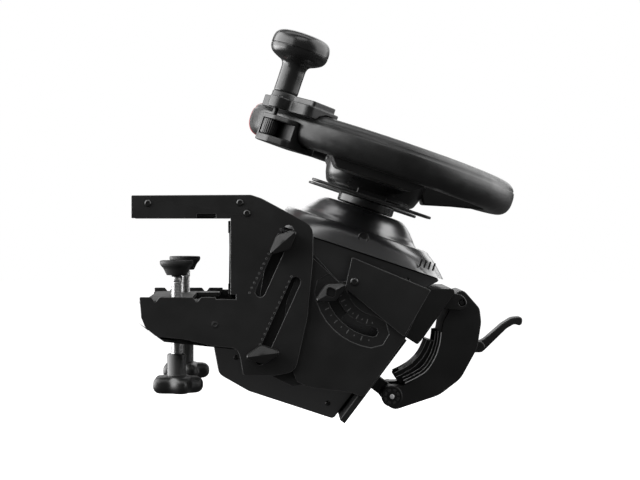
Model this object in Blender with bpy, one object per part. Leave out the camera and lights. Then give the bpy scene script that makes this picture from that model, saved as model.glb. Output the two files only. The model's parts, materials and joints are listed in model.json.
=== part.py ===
"""A gaming steering wheel on a desk-clamp bracket, as an assembly of separate solids.

Lengths here are in millimetres, and a mesh is scaled to metres as it is made. X runs from the desk
towards the driver, Y from the driver's left to the right, and Z up. The origin lies on the corner of the
desk: the underside of the upper jaw is at Z = 0 and the bumpers that meet the desk's edge are at X = 0.
"""

import math

import bmesh
import bpy
from mathutils import Matrix, Vector

MM = 0.001
GAP = 0.3  # between two pieces that touch
SIDES = {"left": -1, "right": 1}

# Desk bracket
SHEET = 3.0
BRACKET_HALF_WIDTH = 100.0
JAW_FRONT_X = -93.0
JAW_TOP_Z = 22.5
ARM_TOP_Z = -75.5
ARM_END_X = -85.2
ARM_NOTCHES = (-30.0, -70.0)
EDGE_FLANGE_X = 2.4
FLANGE_THICK = 2.4
FLANGE_DEPTH = 20.0
LIP_DEPTH = 13.0
TRAY_TOP_Z = -79.0
TRAY_THICK = 4.0
TRAY_LEG_REACH = 11.0
TRAY_NUT_LOW = -96.0

# Clamp screws
SCREW_X = -51.0
SCREW_Y = 73.0
SPINDLE_R = 5.5
DESK_THICK = 41.0
PAD_R = 16.4
HANDLE_TOP_Z = -132.1
HANDLE_R = 26.0

# Height carrier and tilt joint
SLOT_LEAN = math.radians(65.5)
SLOT_WIDTH = 9.6
BOLT_R = 4.0
KNOB_TOP = 116.0
UPPER_BOLT = (53.0, -22.4)
LOWER_BOLT = (33.7, -129.8)
SLOTS = {"upper": (UPPER_BOLT, (-53.0, 12.8)), "lower": (LOWER_BOLT, (-6.8, 76.0))}
TILT_BOLT = (98.9, -70.3)
TILT_PIVOT = (146.8, -60.9)
TILT_SLOT_ANGLES = (math.radians(189.0), math.radians(262.0))
TILT_LAYER = (93.0, 96.0)
CARRIER_LAYER = (89.5, 92.5)
CHEEK_LAYER = (96.3, 98.8)

# Wheel base and steering axis
LEAN = math.radians(18.5)
WHEEL_CENTRE = (152.6, 0.0, 58.7)
HOUSING_HALF_WIDTH = 58.0
HOUSING_WALL = 3.0
HOUSING_TOP = -94.8
MOTOR_A = -48.0
PULLEY_BAND = (-126.0, -116.0)
SHAFT_R = 10.0
LARGE_PULLEY_R = 33.0
SMALL_PULLEY_R = 8.5
BOARD_ENDS = ((110.2, -196.3), (170.4, -115.8))
BOARD_THICK = 6.0
BOARD_HALF_WIDTH = 92.6

# Steering wheel
RIM_RADIUS = 125.0
RIM_RADIAL = 15.0
RIM_AXIAL = 17.0
RIM_HEIGHT = 1.5
HUB_BOTTOM = -42.2
BUTTON_R = 6.0
BUTTON_A = 14.0
BUTTON_B = 66.0

# Knob clamp: turned about the wheel's axis from twelve o'clock towards the driver's left
CLAMP_TURN = math.radians(40.0)
THUMBWHEEL_AT = (151.0, 0.0)
KNOB_AT = (-112.7, -54.0)

# Base clamp
ARM_HINGE = (231.5, -84.0)
ARM_HALF_WIDTH = 34.0
PIN_R = 3.0
PAD_PIN = (162.1, -178.2)
LEVER_PIN = (254.5, -130.5)


def clear_scene():
    for thing in list(bpy.data.objects):
        bpy.data.objects.remove(thing, do_unlink=True)


def material(name, color, roughness, metallic=0.0):
    made = bpy.data.materials.new(name)
    made.use_nodes = True
    shader = made.node_tree.nodes["Principled BSDF"]
    shader.inputs["Base Color"].default_value = (*color, 1.0)
    shader.inputs["Roughness"].default_value = roughness
    shader.inputs["Metallic"].default_value = metallic
    return made


# Frames: a frame turns (u, v, w) into a place, w being the direction of an extrusion or a turning axis.


def frame(origin, u, v, w):
    return Matrix.Translation(Vector(origin)) @ Matrix((u, v, w)).transposed().to_4x4()


SIDE_VIEW = frame((0, 0, 0), (1, 0, 0), (0, 0, 1), (0, 1, 0))
LEVEL = frame((0, 0, 0), (1, 0, 0), (0, 1, 0), (0, 0, 1))
WHEEL_E = Vector((math.cos(LEAN), 0, -math.sin(LEAN)))
WHEEL_N = Vector((math.sin(LEAN), 0, math.cos(LEAN)))
WHEEL = frame(WHEEL_CENTRE, WHEEL_E, (0, 1, 0), WHEEL_N)
WHEEL_SIDE = frame(WHEEL_CENTRE, WHEEL_E, WHEEL_N, (0, 1, 0))


def wheel_frame_at(a, b):
    """The wheel's frame moved to (a, b) in its plane."""
    return WHEEL @ Matrix.Translation((a, b, 0))


def clamp_frame():
    """u runs outwards along the wheel's radius through the knob clamp, v along the rim."""
    radial = Vector((-math.cos(CLAMP_TURN), -math.sin(CLAMP_TURN), 0))
    along = Vector((math.sin(CLAMP_TURN), -math.cos(CLAMP_TURN), 0))
    turn = Matrix((radial, along, radial.cross(along))).transposed().to_4x4()
    return WHEEL @ turn


# Outlines


def rounded(corners, steps=3):
    """Points of a closed outline of (u, v, radius) corners, each round stretch an arc."""
    points = []
    for i, (u, v, radius) in enumerate(corners):
        here = Vector((u, v))
        back = (Vector(corners[i - 1][:2]) - here).normalized()
        ahead = (Vector(corners[(i + 1) % len(corners)][:2]) - here).normalized()
        half = back.angle(ahead) / 2
        if radius <= 0 or half > math.radians(89):
            points.append(here)
            continue
        reach = radius / math.tan(half)
        centre = here + (back + ahead).normalized() * radius / math.sin(half)
        start, end = here + back * reach - centre, here + ahead * reach - centre
        turn = start.angle_signed(end)
        for k in range(steps + 1):
            points.append(centre + Matrix.Rotation(-turn * k / steps, 2) @ start)
    return points


def circle(radius, count=20, centre=(0, 0)):
    """Points of a circle."""
    angles = [2 * math.pi * k / count for k in range(count)]
    return [Vector(centre) + Vector((math.cos(t), math.sin(t))) * radius for t in angles]


def capsule(start, end, radius, steps=5):
    """A slot's outline between two end centres."""
    start, end = Vector(start), Vector(end)
    heading = math.atan2(end.y - start.y, end.x - start.x)
    points = []
    for centre, first in ((end, heading - math.pi / 2), (start, heading + math.pi / 2)):
        for k in range(steps + 1):
            t = first + math.pi * k / steps
            points.append(centre + Vector((math.cos(t), math.sin(t))) * radius)
    return points


def arc_slot(centre, radius, angles, half_width, steps=8):
    """A slot that follows an arc, with round ends."""
    centre = Vector(centre)
    along = [angles[0] + (angles[1] - angles[0]) * k / steps for k in range(steps + 1)]
    outer = [centre + Vector((math.cos(t), math.sin(t))) * (radius + half_width) for t in along]
    inner = [centre + Vector((math.cos(t), math.sin(t))) * (radius - half_width) for t in along]
    caps = []
    for t, first in ((along[-1], along[-1]), (along[0], along[0] + math.pi)):
        tip = centre + Vector((math.cos(t), math.sin(t))) * radius
        turns = [first + math.pi * k / 4 for k in range(1, 4)]
        caps.append([tip + Vector((math.cos(s), math.sin(s))) * half_width for s in turns])
    return outer + caps[0] + inner[::-1] + caps[1]


def strip(path, thick):
    """The outline of a bent strip whose outer face follows the path, with its thickness on the left."""
    path = [Vector(p) for p in path]
    inner = []
    for i, here in enumerate(path):
        ahead = (path[min(i + 1, len(path) - 1)] - here).normalized()
        back = (here - path[max(i - 1, 0)]).normalized()
        heading = (ahead + back).normalized()
        normal = Vector((-heading.y, heading.x))
        edge = back if back.length > 0 else ahead
        lean = max(abs(normal.dot(Vector((-edge.y, edge.x)))), 0.5)
        inner.append(here + normal * thick / lean)
    return path + inner[::-1]


def belt_outline(large_r, small_r, distance, steps=14):
    """The taut loop round two pulleys, the large one at the origin and the small one at -u."""
    wrap = math.acos((large_r - small_r) / distance)
    points = []
    for centre, radius, first, last in (
        ((0, 0), large_r, -(math.pi - wrap), math.pi - wrap),
        ((-distance, 0), small_r, math.pi - wrap, math.pi + wrap),
    ):
        for k in range(steps + 1):
            t = first + (last - first) * k / steps
            points.append(Vector((centre[0] + radius * math.cos(t), centre[1] + radius * math.sin(t))))
    return points


def inset(corners, distance):
    """The corners of a convex outline moved inwards by a wall's thickness."""
    found = []
    for i, (u, v, radius) in enumerate(corners):
        here = Vector((u, v))
        back = (here - Vector(corners[i - 1][:2])).normalized()
        ahead = (Vector(corners[(i + 1) % len(corners)][:2]) - here).normalized()
        inwards = (ahead - back).normalized()
        lean = max(abs(inwards.dot(Vector((-back.y, back.x)))), 0.3)
        moved = here + inwards * distance / lean
        found.append((moved.x, moved.y, max(radius - distance, 0.0)))
    return found


# Solids


def finish(name, build, where, finish_material, origin=None, smooth=True):
    """Puts a closed bmesh in millimetres, in the given frame, into the scene as one object."""
    place = Vector(origin) if origin is not None else Vector((0, 0, 0))
    bmesh.ops.transform(build, matrix=where, verts=build.verts)
    bmesh.ops.translate(build, vec=-place, verts=build.verts)
    bmesh.ops.scale(build, vec=(MM, MM, MM), verts=build.verts)
    bmesh.ops.recalc_face_normals(build, faces=build.faces)
    mesh = bpy.data.meshes.new(name)
    build.to_mesh(mesh)
    build.free()
    if smooth:
        mesh.shade_smooth()
        mesh.set_sharp_from_angle(angle=math.radians(35))
    mesh.materials.append(finish_material)
    thing = bpy.data.objects.new(name, mesh)
    thing.location = place * MM
    bpy.context.scene.collection.objects.link(thing)
    return thing


def prism(name, outline, low, high, where, finish_material, origin=None):
    """An outline extruded along w from low to high."""
    build = bmesh.new()
    bottom = [build.verts.new((p[0], p[1], low)) for p in outline]
    top = [build.verts.new((p[0], p[1], high)) for p in outline]
    build.faces.new(bottom[::-1])
    build.faces.new(top)
    for i in range(len(outline)):
        j = (i + 1) % len(outline)
        build.faces.new((bottom[i], bottom[j], top[j], top[i]))
    return finish(name, build, where, finish_material, origin)


def turned(name, profile, where, finish_material, origin=None, segments=24):
    """A closed profile of (radius, height) points spun about w; a point at radius 0 is on the axis."""
    build = bmesh.new()
    rings = []
    for radius, height in profile:
        if radius == 0:
            rings.append([build.verts.new((0, 0, height))])
            continue
        rings.append([build.verts.new((*p, height)) for p in circle(radius, segments)])
    closed = all(len(ring) > 1 for ring in rings)
    pairs = list(zip(rings, rings[1:])) + ([(rings[-1], rings[0])] if closed else [])
    for first, second in pairs:
        if len(first) == 1 and len(second) == 1:
            continue
        for k in range(segments):
            m = (k + 1) % segments
            low = [first[k % len(first)], first[m % len(first)]]
            high = [second[m % len(second)], second[k % len(second)]]
            build.faces.new(list(dict.fromkeys(low + high)))
    return finish(name, build, where, finish_material, origin)


def lofted(name, rings, where, finish_material, origin=None, closed=False):
    """Rings of equally many points joined in order, their ends filled or joined to each other."""
    build = bmesh.new()
    made = [[build.verts.new(p) for p in ring] for ring in rings]
    count = len(made[0])
    pairs = list(zip(made, made[1:])) + ([(made[-1], made[0])] if closed else [])
    for first, second in pairs:
        for k in range(count):
            m = (k + 1) % count
            build.faces.new((first[k], first[m], second[m], second[k]))
    if not closed:
        build.faces.new(made[0][::-1])
        build.faces.new(made[-1])
    return finish(name, build, where, finish_material, origin)


def box(name, low, high, finish_material, where=LEVEL, origin=None):
    """A block between two corners."""
    outline = [(low[0], low[1]), (high[0], low[1]), (high[0], high[1]), (low[0], high[1])]
    return prism(name, outline, low[2], high[2], where, finish_material, origin)


def oval_ring(height, half_a, half_b, power, centre_a=0.0, count=28):
    """A ring of a superellipse, from a circle at power 2 towards a rectangle at a high power."""
    points = []
    for k in range(count):
        t = 2 * math.pi * (k + 0.5) / count
        reach = (abs(math.cos(t) / half_a) ** power + abs(math.sin(t) / half_b) ** power) ** (-1 / power)
        points.append((centre_a + reach * math.cos(t), reach * math.sin(t), height))
    return points


def combine(target, other, operation):
    """Cuts or joins with a helper, which stays in the scene as a hidden wire."""
    step = target.modifiers.new(other.name, "BOOLEAN")
    step.operation = operation
    step.solver = "EXACT"
    step.object = other
    other.hide_render = True
    other.display_type = "WIRE"
    return target


def cut(target, *others):
    for other in others:
        combine(target, other, "DIFFERENCE")
    return target


def join(target, *others):
    for other in others:
        combine(target, other, "UNION")
    return target


def span(side, inner, outer):
    """The Y range of a layer on one side of the middle plane."""
    return tuple(sorted((side * inner, side * outer)))


STEEL_BLACK = material("black_powder_coat", (0.022, 0.022, 0.023), 0.5)
SATIN_PLASTIC = material("satin_black_plastic", (0.018, 0.018, 0.018), 0.45)
GLOSS_PLASTIC = material("gloss_black_plastic", (0.012, 0.012, 0.013), 0.16)
RIM_RUBBER = material("rim_leather", (0.02, 0.02, 0.02), 0.5)
RUBBER = material("black_rubber", (0.025, 0.025, 0.025), 0.8)
ZINC = material("zinc_steel", (0.55, 0.56, 0.58), 0.35, 1.0)
BEARING_STEEL = material("bearing_steel", (0.6, 0.6, 0.62), 0.25, 1.0)
CIRCUIT = material("circuit_board", (0.02, 0.12, 0.05), 0.5)


# Desk bracket


def slot_point(bolt, travel):
    """A place along the slots' direction from a bolt, up to the right."""
    return (bolt[0] + travel * math.cos(SLOT_LEAN), bolt[1] + travel * math.sin(SLOT_LEAN))


def arm_notches():
    """Corners of the shallow notches in the lower arm's upper edge, from the desk's edge forwards."""
    corners = []
    for x in ARM_NOTCHES:
        corners += [(x + 4, ARM_TOP_Z, 0), (x, ARM_TOP_Z - 5, 1), (x - 4, ARM_TOP_Z, 0)]
    return corners


def side_plate_outline():
    return rounded(
        [
            (JAW_FRONT_X, JAW_TOP_Z, 1),
            (JAW_FRONT_X, 0.5, 1),
            (-29.9, 0.5, 0),
            (-29.9, 4.5, 1),
            (-11.6, 4.5, 1),
            (-11.6, 0.5, 0),
            (EDGE_FLANGE_X, 0.5, 0),
            (EDGE_FLANGE_X, -73.0, 0),
            (7.7, -73.0, 0),
            (7.7, -77.5, 0),
            (-11.6, -77.5, 0),
            (-11.6, ARM_TOP_Z, 0),
            *arm_notches(),
            (ARM_END_X, ARM_TOP_Z, 1),
            (-83.5, -95.0, 10),
            (-79.5, -105.0, 8),
            (-69.0, -113.5, 8),
            (-42.8, -116.0, 12),
            (-14.8, -122.6, 12),
            (8.0, -124.8, 8),
            (11.5, -132.0, 8),
            (14.8, -151.0, 2),
            (44.0, -151.2, 12),
            (64.8, -147.5, 12),
            (76.6, -95.3, 60),
            (81.8, -40.0, 40),
            (82.2, -7.2, 14),
            (32.0, 19.8, 10),
            (22.0, JAW_TOP_Z + 0.6, 10),
        ],
        steps=3,
    )


def side_plate(label, side):
    y_range = span(side, BRACKET_HALF_WIDTH - SHEET, BRACKET_HALF_WIDTH)
    name = label + "_side_plate"
    plate = prism(name, side_plate_outline(), *y_range, SIDE_VIEW, STEEL_BLACK)
    inner = BRACKET_HALF_WIDTH - SHEET
    edge = span(side, inner - FLANGE_DEPTH, inner + 0.5)
    corners = (EDGE_FLANGE_X, edge[0], -72.8), (EDGE_FLANGE_X + FLANGE_THICK, edge[1], 0.4)
    flange = box(name + "_flange", *corners, STEEL_BLACK)
    path = [(ARM_END_X + 0.3, -80.0), (-83.2, -95.0), (-78.3, -106.4), (-68.5, -113.2), (-42.8, -115.7)]
    path += [(-14.8, -122.3), (7.0, -124.2), (11.8, -131.9), (15.1, -150.7)]
    depth = span(side, inner - LIP_DEPTH, inner + 0.5)
    lip = prism(name + "_lip", strip(path, FLANGE_THICK), *depth, SIDE_VIEW, STEEL_BLACK)
    join(plate, flange, lip)
    for tag, (bolt, travels) in SLOTS.items():
        ends = [slot_point(bolt, travel) for travel in travels]
        shape = capsule(*ends, SLOT_WIDTH / 2)
        hole = prism(f"{name}_{tag}_slot", shape, *span(side, inner - 2, inner + 5), SIDE_VIEW, STEEL_BLACK)
        cut(plate, hole)
    return plate


def desk_bracket():
    for label, side in SIDES.items():
        side_plate(label, side)
        outer = BRACKET_HALF_WIDTH - SHEET - 4
        strip_y = span(side, outer - 14, outer)
        name = label + "_bumper"
        bumper = box(name, (1.3, strip_y[0], -72.5), (EDGE_FLANGE_X - GAP, strip_y[1], -2.2), RUBBER)
        for tag, z_range in (("top", (-13.8, -2.2)), ("bottom", (-72.5, -62.9))):
            pad = (0.0, strip_y[0], z_range[0]), (1.8, strip_y[1], z_range[1])
            join(bumper, box(f"{name}_{tag}", *pad, RUBBER))
    half = BRACKET_HALF_WIDTH - SHEET - GAP
    plate_low, plate_high = 2.3, 2.3 + SHEET
    back = 22.0
    top = box("top_plate", (JAW_FRONT_X, -half, plate_low), (back, half, plate_high), STEEL_BLACK)
    for label, side in SIDES.items():
        wall = span(side, half - SHEET, half)
        corners = (JAW_FRONT_X, wall[0], plate_low), (back, wall[1], 20.0)
        join(top, box(f"top_plate_{label}", *corners, STEEL_BLACK))
    box("jaw_pad", (-90.0, -90.0, 0.0), (2.0, 90.0, plate_low - GAP), RUBBER)


def tray_outline():
    """Full width under the desk's front, and two legs back along the arms, open between them."""
    half = BRACKET_HALF_WIDTH - SHEET - GAP
    leg = SCREW_Y - TRAY_LEG_REACH
    front, middle, back = -81.5, -38.0, -14.0
    corners = [(front, -half, 2), (back, -half, 2), (back, -leg, 2), (middle, -leg, 1.5)]
    corners += [(middle, leg, 1.5), (back, leg, 2), (back, half, 2), (front, half, 2)]
    return rounded(corners, steps=2)


def lower_tray():
    tray = prism("lower_tray", tray_outline(), TRAY_TOP_Z - TRAY_THICK, TRAY_TOP_Z, LEVEL, STEEL_BLACK)
    half = BRACKET_HALF_WIDTH - SHEET - GAP
    for label, side in SIDES.items():
        wall = span(side, half - SHEET, half)
        corners = (-70.0, wall[0], TRAY_TOP_Z - 18), (-16.0, wall[1], TRAY_TOP_Z - 1)
        join(tray, box(f"tray_wall_{label}", *corners, STEEL_BLACK))
        centre = (SCREW_X, side * SCREW_Y)
        nut = circle(11, 6, centre)
        join(tray, prism(f"tray_nut_{label}", nut, TRAY_NUT_LOW, TRAY_TOP_Z - 1, LEVEL, STEEL_BLACK))
        hole = circle(SPINDLE_R + GAP, 16, centre)
        cut(tray, prism(f"tray_bore_{label}", hole, TRAY_NUT_LOW - 5, TRAY_TOP_Z + 5, LEVEL, STEEL_BLACK))


def star_outline(radius, lobes=5, steps=40):
    """A handle's outline with round lobes."""
    points = []
    for k in range(steps):
        t = 2 * math.pi * k / steps
        reach = radius * (0.83 + 0.17 * math.cos(lobes * t))
        points.append((reach * math.cos(t), reach * math.sin(t)))
    return points


def clamp_screws():
    pad_z = -DESK_THICK
    for label, side in SIDES.items():
        axis = (SCREW_X, side * SCREW_Y, 0)
        here = frame(axis, (1, 0, 0), (0, 1, 0), (0, 0, 1))
        pad = [(0, pad_z), (PAD_R - 1, pad_z), (PAD_R, pad_z - 1), (PAD_R, pad_z - 4)]
        pad += [(13.2, pad_z - 6.5), (9.8, pad_z - 14.2), (0, pad_z - 14.2)]
        turned(label + "_clamp_pad", pad, here, RUBBER, axis)
        top = pad_z - 14.5
        spindle = [(0, top), (SPINDLE_R - 1, top), (SPINDLE_R, top - 1), (SPINDLE_R, -147.0), (0, -147.0)]
        turned(label + "_clamp_spindle", spindle, here, ZINC, axis, 16)
        hub = [(SPINDLE_R + GAP, HANDLE_TOP_Z), (8.4, HANDLE_TOP_Z), (9.2, HANDLE_TOP_Z - 1), (9.2, -158.0)]
        hub += [(0, -158.0), (0, -147.6), (SPINDLE_R + GAP, -147.6)]
        star = star_outline(HANDLE_R)
        handle = prism(label + "_clamp_handle", star, -169.9, -153.9, here, SATIN_PLASTIC, axis)
        join(handle, blind_hub(label + "_handle_hub", hub, here, axis))


def blind_hub(name, profile, here, axis):
    """A hub with a blind hole, whose profile starts and ends off the axis and touches it at the floor."""
    walls = [point for point in profile if point[0] > 0]
    floor_low, floor_high = [point for point in profile if point[0] == 0]
    ordered = [floor_high, walls[-1], walls[0], *walls[1:-1], floor_low]
    return turned(name, ordered, here, SATIN_PLASTIC, axis, 20)


# Height carrier


def carrier_outline():
    return rounded(
        [
            (41.5, -12.5, 8),
            (62.0, -11.5, 8),
            (108.0, -62.0, 6),
            (148.0, -49.4, 6),
            (158.5, -58.5, 10),
            (152.0, -72.5, 10),
            (112.0, -92.0, 14),
            (87.0, -157.5, 6),
            (62.0, -162.0, 4),
            (43.0, -152.5, 4),
            (23.5, -139.0, 8),
            (22.5, -120.0, 8),
        ]
    )


def bolt_places():
    return {"upper": UPPER_BOLT, "lower": LOWER_BOLT, "tilt": TILT_BOLT}


def height_carrier():
    for label, side in SIDES.items():
        name = label + "_carrier_plate"
        plate = prism(name, carrier_outline(), *span(side, *CARRIER_LAYER), SIDE_VIEW, STEEL_BLACK)
        pin = prism(name + "_pin", circle(6, 20, TILT_PIVOT), *span(side, 90.5, 95.9), SIDE_VIEW, STEEL_BLACK)
        join(plate, pin)
        for tag, centre in bolt_places().items():
            hole = circle(BOLT_R + GAP, 16, centre)
            cut(plate, prism(f"{name}_{tag}_hole", hole, *span(side, 85, 97), SIDE_VIEW, STEEL_BLACK))
            carriage_bolt(f"{label}_{tag}_bolt", centre, side)


def carriage_bolt(name, centre, side):
    """A bolt with a low round head inside the carrier plate and its shank out to the side."""
    here = frame((centre[0], 0, centre[1]), (1, 0, 0), (0, 0, -side), (0, side, 0))
    head_in, head_out = CARRIER_LAYER[0] - 3.8, CARRIER_LAYER[0] - GAP
    profile = [(0, head_in), (5.0, head_in), (7.0, head_in + 2), (7.0, head_out), (BOLT_R, head_out)]
    profile += [(BOLT_R, 110.0), (0, 110.0)]
    turned(name, profile, here, ZINC, (centre[0], 0, centre[1]), 16)


def wing_knob(name, centre, lean, side, seat, has_eye):
    """A lozenge-shaped clamping knob whose round seat presses on the plate at Y = seat."""
    origin = (centre[0], 0, centre[1])
    here = frame(origin, (1, 0, 0), (0, 0, 1), (0, 1, 0)) @ Matrix.Rotation(lean, 4, "Z")
    outline = rounded([(-19.5, 0, 3), (0, -9.6, 6), (19.5, 0, 3), (0, 9.6, 6)], 4)
    knob = prism(name, outline, *span(side, 102.5, KNOB_TOP), here, SATIN_PLASTIC, origin)
    foot = span(side, seat, 104.0)
    join(knob, prism(name + "_seat", circle(8.4, 24), *foot, here, SATIN_PLASTIC, origin))
    bore = span(side, 90, KNOB_TOP - 5)
    cut(knob, prism(name + "_bore", circle(BOLT_R + GAP, 16), *bore, here, ZINC, origin))
    if has_eye:
        eye = span(side, KNOB_TOP - 2.5, KNOB_TOP + 4)
        cut(knob, prism(name + "_eye", circle(4.8, 20), *eye, here, ZINC, origin))


def wing_knobs():
    """The clamping knobs on the bolts, each at its own angle."""
    leans = {"upper": 41.0, "lower": 8.0, "tilt": 29.0}
    for label, side in SIDES.items():
        for tag, centre in bolt_places().items():
            seat = (TILT_LAYER[1] if tag == "tilt" else BRACKET_HALF_WIDTH) + GAP
            lean = math.radians(leans[tag])
            wing_knob(f"{label}_{tag}_knob", centre, lean, side, seat, tag == "tilt")


# Tilting cradle


def tilt_plate_outline():
    return rounded(
        [
            (76.0, -32.0, 4),
            (110.0, -64.0, 0),
            (114.0, -63.0, 0),
            (120.6, -38.6, 1),
            (193.6, -69.2, 1),
            (171.0, -115.4, 3),
            (152.4, -141.9, 20),
            (130.9, -171.8, 1),
            (118.0, -167.8, 20),
            (77.4, -162.3, 20),
            (66.5, -157.3, 4),
            (52.0, -122.0, 20),
            (56.0, -80.0, 20),
        ]
    )


def slot_recess(name, layer, side):
    """The shallow field pressed into the plate round the arc slot."""
    radius = (Vector(TILT_BOLT) - Vector(TILT_PIVOT)).length
    field = arc_slot(TILT_PIVOT, radius, TILT_SLOT_ANGLES, 15.5)
    return prism(name, field, *span(side, layer - 0.8, layer + 3), SIDE_VIEW, STEEL_BLACK)


def tilt_cradle():
    radius = (Vector(TILT_BOLT) - Vector(TILT_PIVOT)).length
    pivot = (TILT_PIVOT[0], 0, TILT_PIVOT[1])
    for label, side in SIDES.items():
        name = label + "_tilt_plate"
        plate = prism(name, tilt_plate_outline(), *span(side, *TILT_LAYER), SIDE_VIEW, STEEL_BLACK, pivot)
        slot = arc_slot(TILT_PIVOT, radius, TILT_SLOT_ANGLES, SLOT_WIDTH / 2)
        cut(plate, prism(name + "_slot", slot, *span(side, 90, 99), SIDE_VIEW, STEEL_BLACK))
        hole = circle(6 + GAP, 20, TILT_PIVOT)
        cut(plate, prism(name + "_hole", hole, *span(side, 90, 99), SIDE_VIEW, STEEL_BLACK))
        cut(plate, slot_recess(name + "_recess", TILT_LAYER[1], side))
        cheek = rounded([(119.4, -36.9, 1.5), (112.7, -66.7, 1.5), (169.5, -113.9, 1.5), (195.5, -68.7, 1.5)])
        layer = span(side, *CHEEK_LAYER)
        prism(label + "_cheek_plate", cheek, *layer, SIDE_VIEW, STEEL_BLACK, pivot)
    lower, upper = (Vector(end) for end in BOARD_ENDS)
    across = (upper - lower).normalized()
    normal = Vector((-across.y, across.x)) * BOARD_THICK / 2
    outline = [lower - normal, upper - normal, upper + normal, lower + normal]
    prism("mounting_board", outline, -BOARD_HALF_WIDTH, BOARD_HALF_WIDTH, SIDE_VIEW, STEEL_BLACK, pivot)


# Wheel base


def housing_corners():
    return [
        (92.0, HOUSING_TOP, 2),
        (-84.0, HOUSING_TOP, 2),
        (-101.0, -228.0, 6),
        (-87.0, -253.0, 10),
        (-54.0, -259.5, 10),
        (34.0, -259.0, 4),
        (68.4, -160.0, 3),
        (80.0, -107.0, 3),
    ]


def base_housing():
    corners = housing_corners()
    half = HOUSING_HALF_WIDTH
    shell = prism("base_housing", rounded(corners), -half, half, WHEEL_SIDE, GLOSS_PLASTIC)
    hollow = inset(corners, HOUSING_WALL)
    hollow[0] = (hollow[0][0], HOUSING_TOP + 5, 0)
    hollow[1] = (hollow[1][0], HOUSING_TOP + 5, 0)
    inner = half - HOUSING_WALL
    cut(shell, prism("housing_hollow", rounded(hollow), -inner, inner, WHEEL_SIDE, GLOSS_PLASTIC))
    for tag, low, high, reach in (("upper", -112.0, -100.0, 30.0), ("lower", -192.0, -180.0, 78.0)):
        web = box(f"housing_{tag}_web", (-reach, -half + 1, low), (30, half - 1, high), GLOSS_PLASTIC, WHEEL)
        join(shell, web)
        bore = prism(f"housing_{tag}_bore", circle(24 + GAP, 28), low - 5, high + 5, WHEEL, GLOSS_PLASTIC)
        cut(shell, bore)


def base_cover():
    outer = [
        (-94.5, 90.0, 72.0, 7, 6.0),
        (-81.0, 80.0, 69.0, 7, 3.0),
        (-75.2, 75.6, 66.0, 6, 0.0),
        (-73.4, 73.0, 64.0, 5, 0.0),
        (-72.6, 61.5, 60.5, 2.2, 0.0),
        (-70.0, 59.0, 59.0, 2, 0.0),
        (-64.0, 54.0, 54.0, 2, 0.0),
        (-57.6, 47.8, 47.8, 2, 0.0),
        (-54.0, 43.0, 43.0, 2, 0.0),
        (-52.5, 38.5, 38.5, 2, 0.0),
        (-52.5, 24.0, 24.0, 2, 0.0),
    ]
    inner = [
        (-55.5, 24.0, 24.0, 2, 0.0),
        (-55.8, 35.0, 35.0, 2, 0.0),
        (-66.0, 46.5, 46.5, 2, 0.0),
        (-75.8, 56.5, 56.5, 2, 0.0),
        (-77.5, 71.0, 61.5, 5, 0.0),
        (-94.5, 86.5, 68.5, 7, 6.0),
    ]
    rings = [oval_ring(height, a, b, power, centre) for height, a, b, power, centre in outer + inner]
    lofted("base_cover", rings, WHEEL, GLOSS_PLASTIC, closed=True)


def clamp_root():
    """The box at the front of the base that carries the base clamp's hinge between two lugs."""
    corners = [(110.0, -98.6, 3), (81.4, -107.6, 2), (70.6, -158.6, 2), (90.0, -163.5, 2), (93.5, -155.0, 2)]
    half = HOUSING_HALF_WIDTH - 4
    root = prism("clamp_root", rounded(corners, 3), -half, half, WHEEL_SIDE, SATIN_PLASTIC)
    for label, side in SIDES.items():
        inner = ARM_HALF_WIDTH + GAP + 1
        lug_y = span(side, inner, inner + 6)
        outline = [(238.5, -84.0, 7), (231.5, -76.5, 6), (218.0, -73.0, 1), (208.0, -90.0, 1)]
        lug = rounded([*outline, (232.0, -91.8, 6)], 4)
        join(root, prism(f"clamp_root_{label}_lug", lug, *lug_y, SIDE_VIEW, SATIN_PLASTIC))
        bore = circle(PIN_R + GAP, 16, ARM_HINGE)
        cut(root, prism(f"clamp_root_{label}_bore", bore, *span(side, 30, 50), SIDE_VIEW, ZINC))


def drive():
    """The steering motor, its toothed belt, the board that runs it and the shaft's two bearings."""
    for tag, high in (("upper", -100.0), ("lower", -180.0)):
        ring = [(SHAFT_R + GAP, high), (24.0, high), (24.0, high - 12), (SHAFT_R + GAP, high - 12)]
        turned(f"{tag}_bearing", ring, WHEEL, BEARING_STEEL)
    low, high = PULLEY_BAND
    here = wheel_frame_at(MOTOR_A, 0)
    shaft_r = 2.5
    can = [(0, -179.7), (26.0, -179.7), (26.0, low - 6), (8.0, low - 6), (8.0, low - 3), (shaft_r, low - 3)]
    can += [(shaft_r, high), (0, high)]
    turned("motor", can, here, BEARING_STEEL)
    rim = [(shaft_r + GAP, low), (SMALL_PULLEY_R, low), (SMALL_PULLEY_R, high), (shaft_r + GAP, high)]
    turned("motor_pulley", rim, here, ZINC, here.translation, 20)
    thick = 1.8
    run = (LARGE_PULLEY_R + 3 * GAP, SMALL_PULLEY_R + 3 * GAP, -MOTOR_A)
    outline = belt_outline(run[0] + thick, run[1] + thick, run[2])
    belt = prism("drive_belt", outline, low + 1.5, high - 1.5, WHEEL, RUBBER)
    cut(belt, prism("belt_inside", belt_outline(*run), low - 2, high + 2, WHEEL, RUBBER))
    box("control_board", (-70.0, 52.2, -244.0), (10.0, 53.8, -200.0), CIRCUIT, WHEEL)


# Steering wheel


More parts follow.
